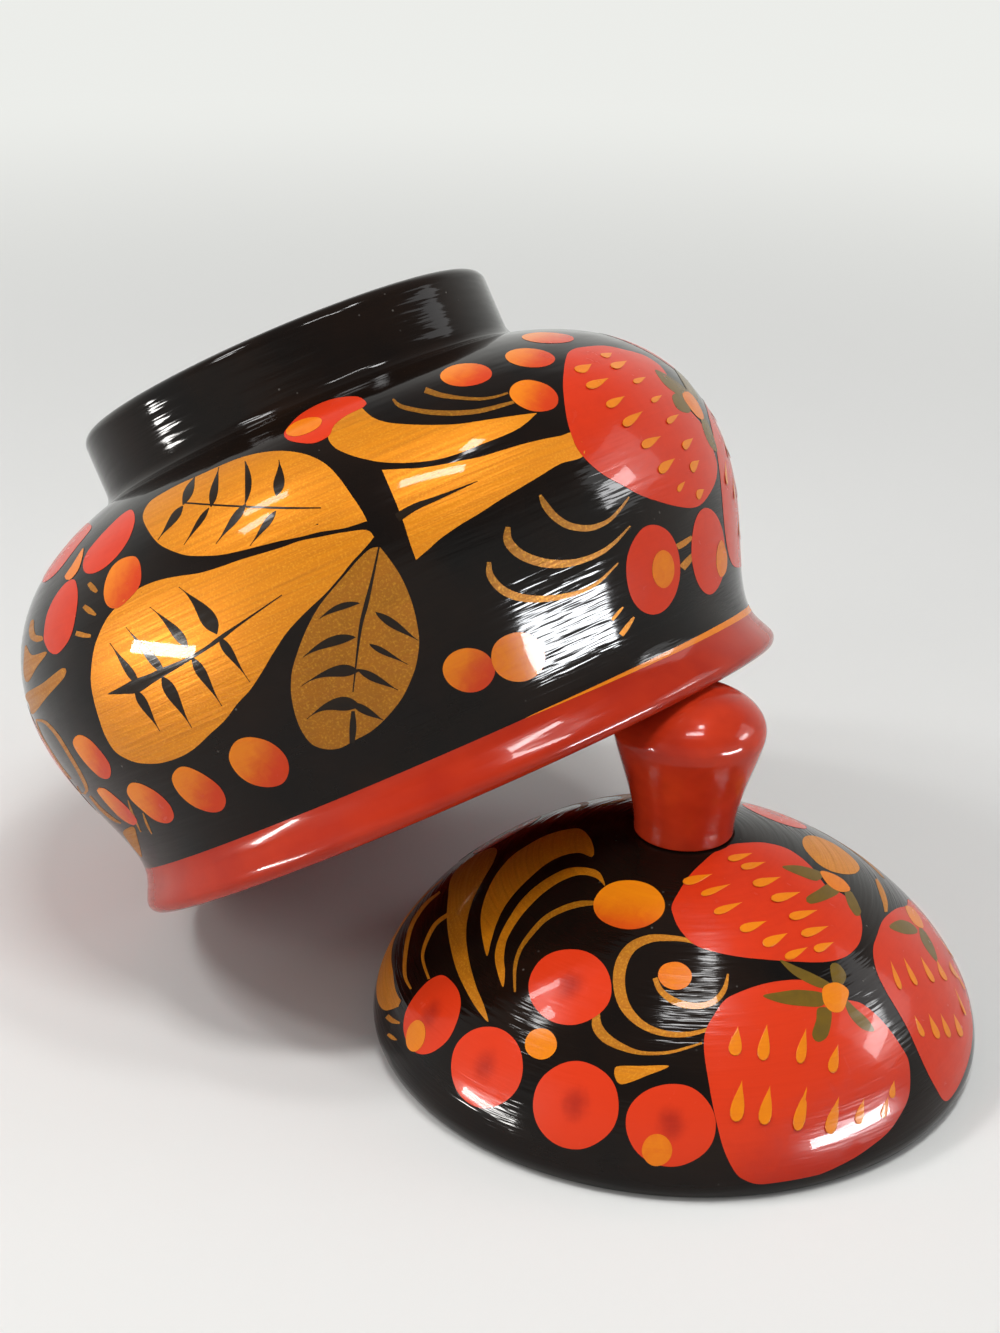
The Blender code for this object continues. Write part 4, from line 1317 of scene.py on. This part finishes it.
def strewSeeds(name, part, seeds, turns):
    surface = painted[part]
    spots, aims, outs, sizes = [], [], [], []
    for head, tail, wide in seeds:
        for degrees in turns:
            start, end = (turnFlat(surface, Vector(p), degrees) for p in (head, tail))
            spot, out = unflatten(surface, (start + end) / 2, lifts["seed"])
            far = unflatten(surface, end, lifts["seed"])[0]
            spots.append(spot)
            outs.append(out)
            aims.append((far - spot).normalized())
            sizes.append(Vector(((far - spot).length, wide * seedSet["plump"] * mm, seedSet["thick"])))
    mesh = bpy.data.meshes.new(name + " spots")
    mesh.from_pydata([s[:] for s in spots], [], [])
    for key, values in (("aim", aims), ("out", outs), ("size", sizes)):
        layer = mesh.attributes.new(key, "FLOAT_VECTOR", "POINT")
        layer.data.foreach_set("vector", [c for v in values for c in v])
    piece = runTree(seedGroup, mesh, name, {"Finish": paints["orange"]})
    markTurned(piece.data, surface["back"])
    tone = piece.data.attributes.new("tone", "FLOAT", "POINT")
    tone.data.foreach_set("value", [tones["seed"]] * len(piece.data.vertices))
    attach(piece, part)


seedGroup = seedTree()
for coatName in sorted(coats):
    part, kind = coatName.split("_")[:2]
    piece = buildCoat(coatName, paints[kind], part)
    print("painted", coatName, len(piece.data.polygons), "faces")
strewSeeds("jar_seeds", "jar", [seenSeed(jarFace, *seed) for seed in jarSeeds] + farSeeds, jarTurns)
strewSeeds("lid_seeds", "lid", [seenSeed(lidFace, *seed) for seed in lidSeeds] + farLidSeeds, once)
print("seeds strewn")

# floor, wall and light

stage = {"halfWidth": 8.0, "litTo": 0.26, "paleFrom": 0.85, "floor": (0.73, 0.73, 0.715, 1.0),
         "floorRough": 0.9, "wall": (0.84, 0.85, 0.82, 1.0), "light": 0.32, "wallTop": 0.30,
         "ceilingFrom": 0.70, "sheenShare": 0.4}
white, warm, cool = (1.0, 1.0, 1.0), (1.0, 0.98, 0.95), (0.94, 0.97, 1.0)


def seenRays(tree):
    path = addNode(tree, "ShaderNodeLightPath").outputs
    mirrored = calc(tree, "MAXIMUM", path["Is Glossy Ray"], path["Is Transmission Ray"])
    return calc(tree, "MAXIMUM", path["Is Camera Ray"], mirrored)


def paleFinish():
    # lit floor that keeps the shadow, passing into an even pale distance
    material = bpy.data.materials.new("pale floor")
    material.use_nodes = True
    tree = material.node_tree
    shader = tree.nodes["Principled BSDF"]
    shader.inputs["Base Color"].default_value = stage["floor"]
    shader.inputs["Roughness"].default_value = stage["floorRough"]
    shader.inputs["Specular IOR Level"].default_value = 0.0
    place = addNode(tree, "ShaderNodeTexCoord").outputs["Object"]
    away = addNode(tree, "ShaderNodeVectorMath", {0: place}, operation="LENGTH").outputs["Value"]
    rise = spread(tree, away, 0.0, 1.0, stage["litTo"], stage["paleFrom"], interpolation_type="SMOOTHSTEP")
    glow = addNode(tree, "ShaderNodeEmission", {"Color": stage["wall"], "Strength": 1.0}).outputs[0]
    share = calc(tree, "MULTIPLY", rise, seenRays(tree))
    mix = addNode(tree, "ShaderNodeMixShader", {0: share, 1: shader.outputs[0], 2: glow})
    tree.links.new(mix.outputs[0], tree.nodes["Material Output"].inputs["Surface"])
    return material


def buildFloor():
    mesh = bpy.data.meshes.new("floor")
    half = stage["halfWidth"]
    corners = [(-half, -half, 0.0), (half, -half, 0.0), (half, half, 0.0), (-half, half, 0.0)]
    mesh.from_pydata(corners, [], [(0, 1, 2, 3)])
    mesh.materials.append(paleFinish())
    floor = bpy.data.objects.new("floor", mesh)
    bpy.context.scene.collection.objects.link(floor)


def paleRoom():
    # even light from all round, seen as a pale wall under a dimmer ceiling
    world = bpy.data.worlds.new("pale room")
    bpy.context.scene.world = world
    world.use_nodes = True
    tree = world.node_tree
    lit = tree.nodes["Background"]
    lit.inputs["Color"].default_value = (*white, 1.0)
    lit.inputs["Strength"].default_value = stage["light"]
    height = axes(tree, addNode(tree, "ShaderNodeTexCoord").outputs["Generated"])["Z"]
    share = spread(tree, height, 0.0, 1.0, stage["wallTop"], stage["ceilingFrom"],
                   interpolation_type="SMOOTHSTEP")
    dim = stage["light"]
    colour = blendColours(tree, share, stage["wall"], (dim, dim, dim, 1.0))
    seen = addNode(tree, "ShaderNodeBackground", {"Color": colour}).outputs[0]
    mix = addNode(tree, "ShaderNodeMixShader", {0: seenRays(tree), 1: lit.outputs[0], 2: seen})
    tree.links.new(mix.outputs[0], tree.nodes["World Output"].inputs["Surface"])


def softLight(name, place, target, wide, high, power, colour=white, only="both"):
    data = bpy.data.lights.new(name, "AREA")
    data.shape = "RECTANGLE"
    data.size, data.size_y = wide, high
    data.energy, data.color = power, colour
    lamp = bpy.data.objects.new(name, data)
    lamp.location = place
    lamp.rotation_euler = (Vector(target) - Vector(place)).to_track_quat("-Z", "Y").to_euler()
    lamp.visible_camera = False
    lamp.visible_diffuse = only != "gloss"
    lamp.visible_glossy = only != "matte"
    bpy.context.scene.collection.objects.link(lamp)


buildFloor()
paleRoom()
# ceiling panels, two low windows and a broad pale side, as the gloss in the photo shows them:
# place, aim, width and height in metres, then power in watts
aimLid, aimJar = (0.03, -0.02, 0.06), (-0.06, -0.02, 0.09)
panels = (("overhead panel, back", (0.22, -0.06, 1.09), aimLid, 0.13, 0.08, 1.6),
          ("overhead panel, front", (0.11, -0.345, 1.06), aimLid, 0.34, 0.085, 4.4),
          ("left panel, back", (-0.76, 0.0, 1.0), aimJar, 0.10, 0.22, 2.6),
          ("left panel, front", (-0.80, -0.22, 0.94), aimJar, 0.10, 0.18, 2.2))
for name, place, target, wide, high, power in panels:
    softLight(name, place, target, wide, high, power)
    softLight(name + ", sheen", place, target, wide, high, power * stage["sheenShare"], only="gloss")
softLight("left window", (-0.43, -0.23, 0.036), (-0.05, -0.05, 0.05), 0.20, 0.04, 2.4, warm, "gloss")
softLight("right window", (0.43, -0.26, 0.045), (0.03, -0.03, 0.05), 0.26, 0.055, 4.8, cool, "gloss")
softLight("right side", (1.05, 0.15, 0.58), aimLid, 0.6, 0.5, 2.2, (0.96, 0.98, 1.0))
softLight("right panel", (1.0, 0.02, 0.50), aimLid, 0.30, 0.12, 3.0, (0.98, 0.99, 1.0), "gloss")
softLight("left fill", (-0.75, -0.55, 0.40), (-0.03, -0.04, 0.06), 0.35, 0.35, 2.0, warm, "matte")
bpy.context.scene.view_settings.view_transform = "Standard"
print("floor and light set")
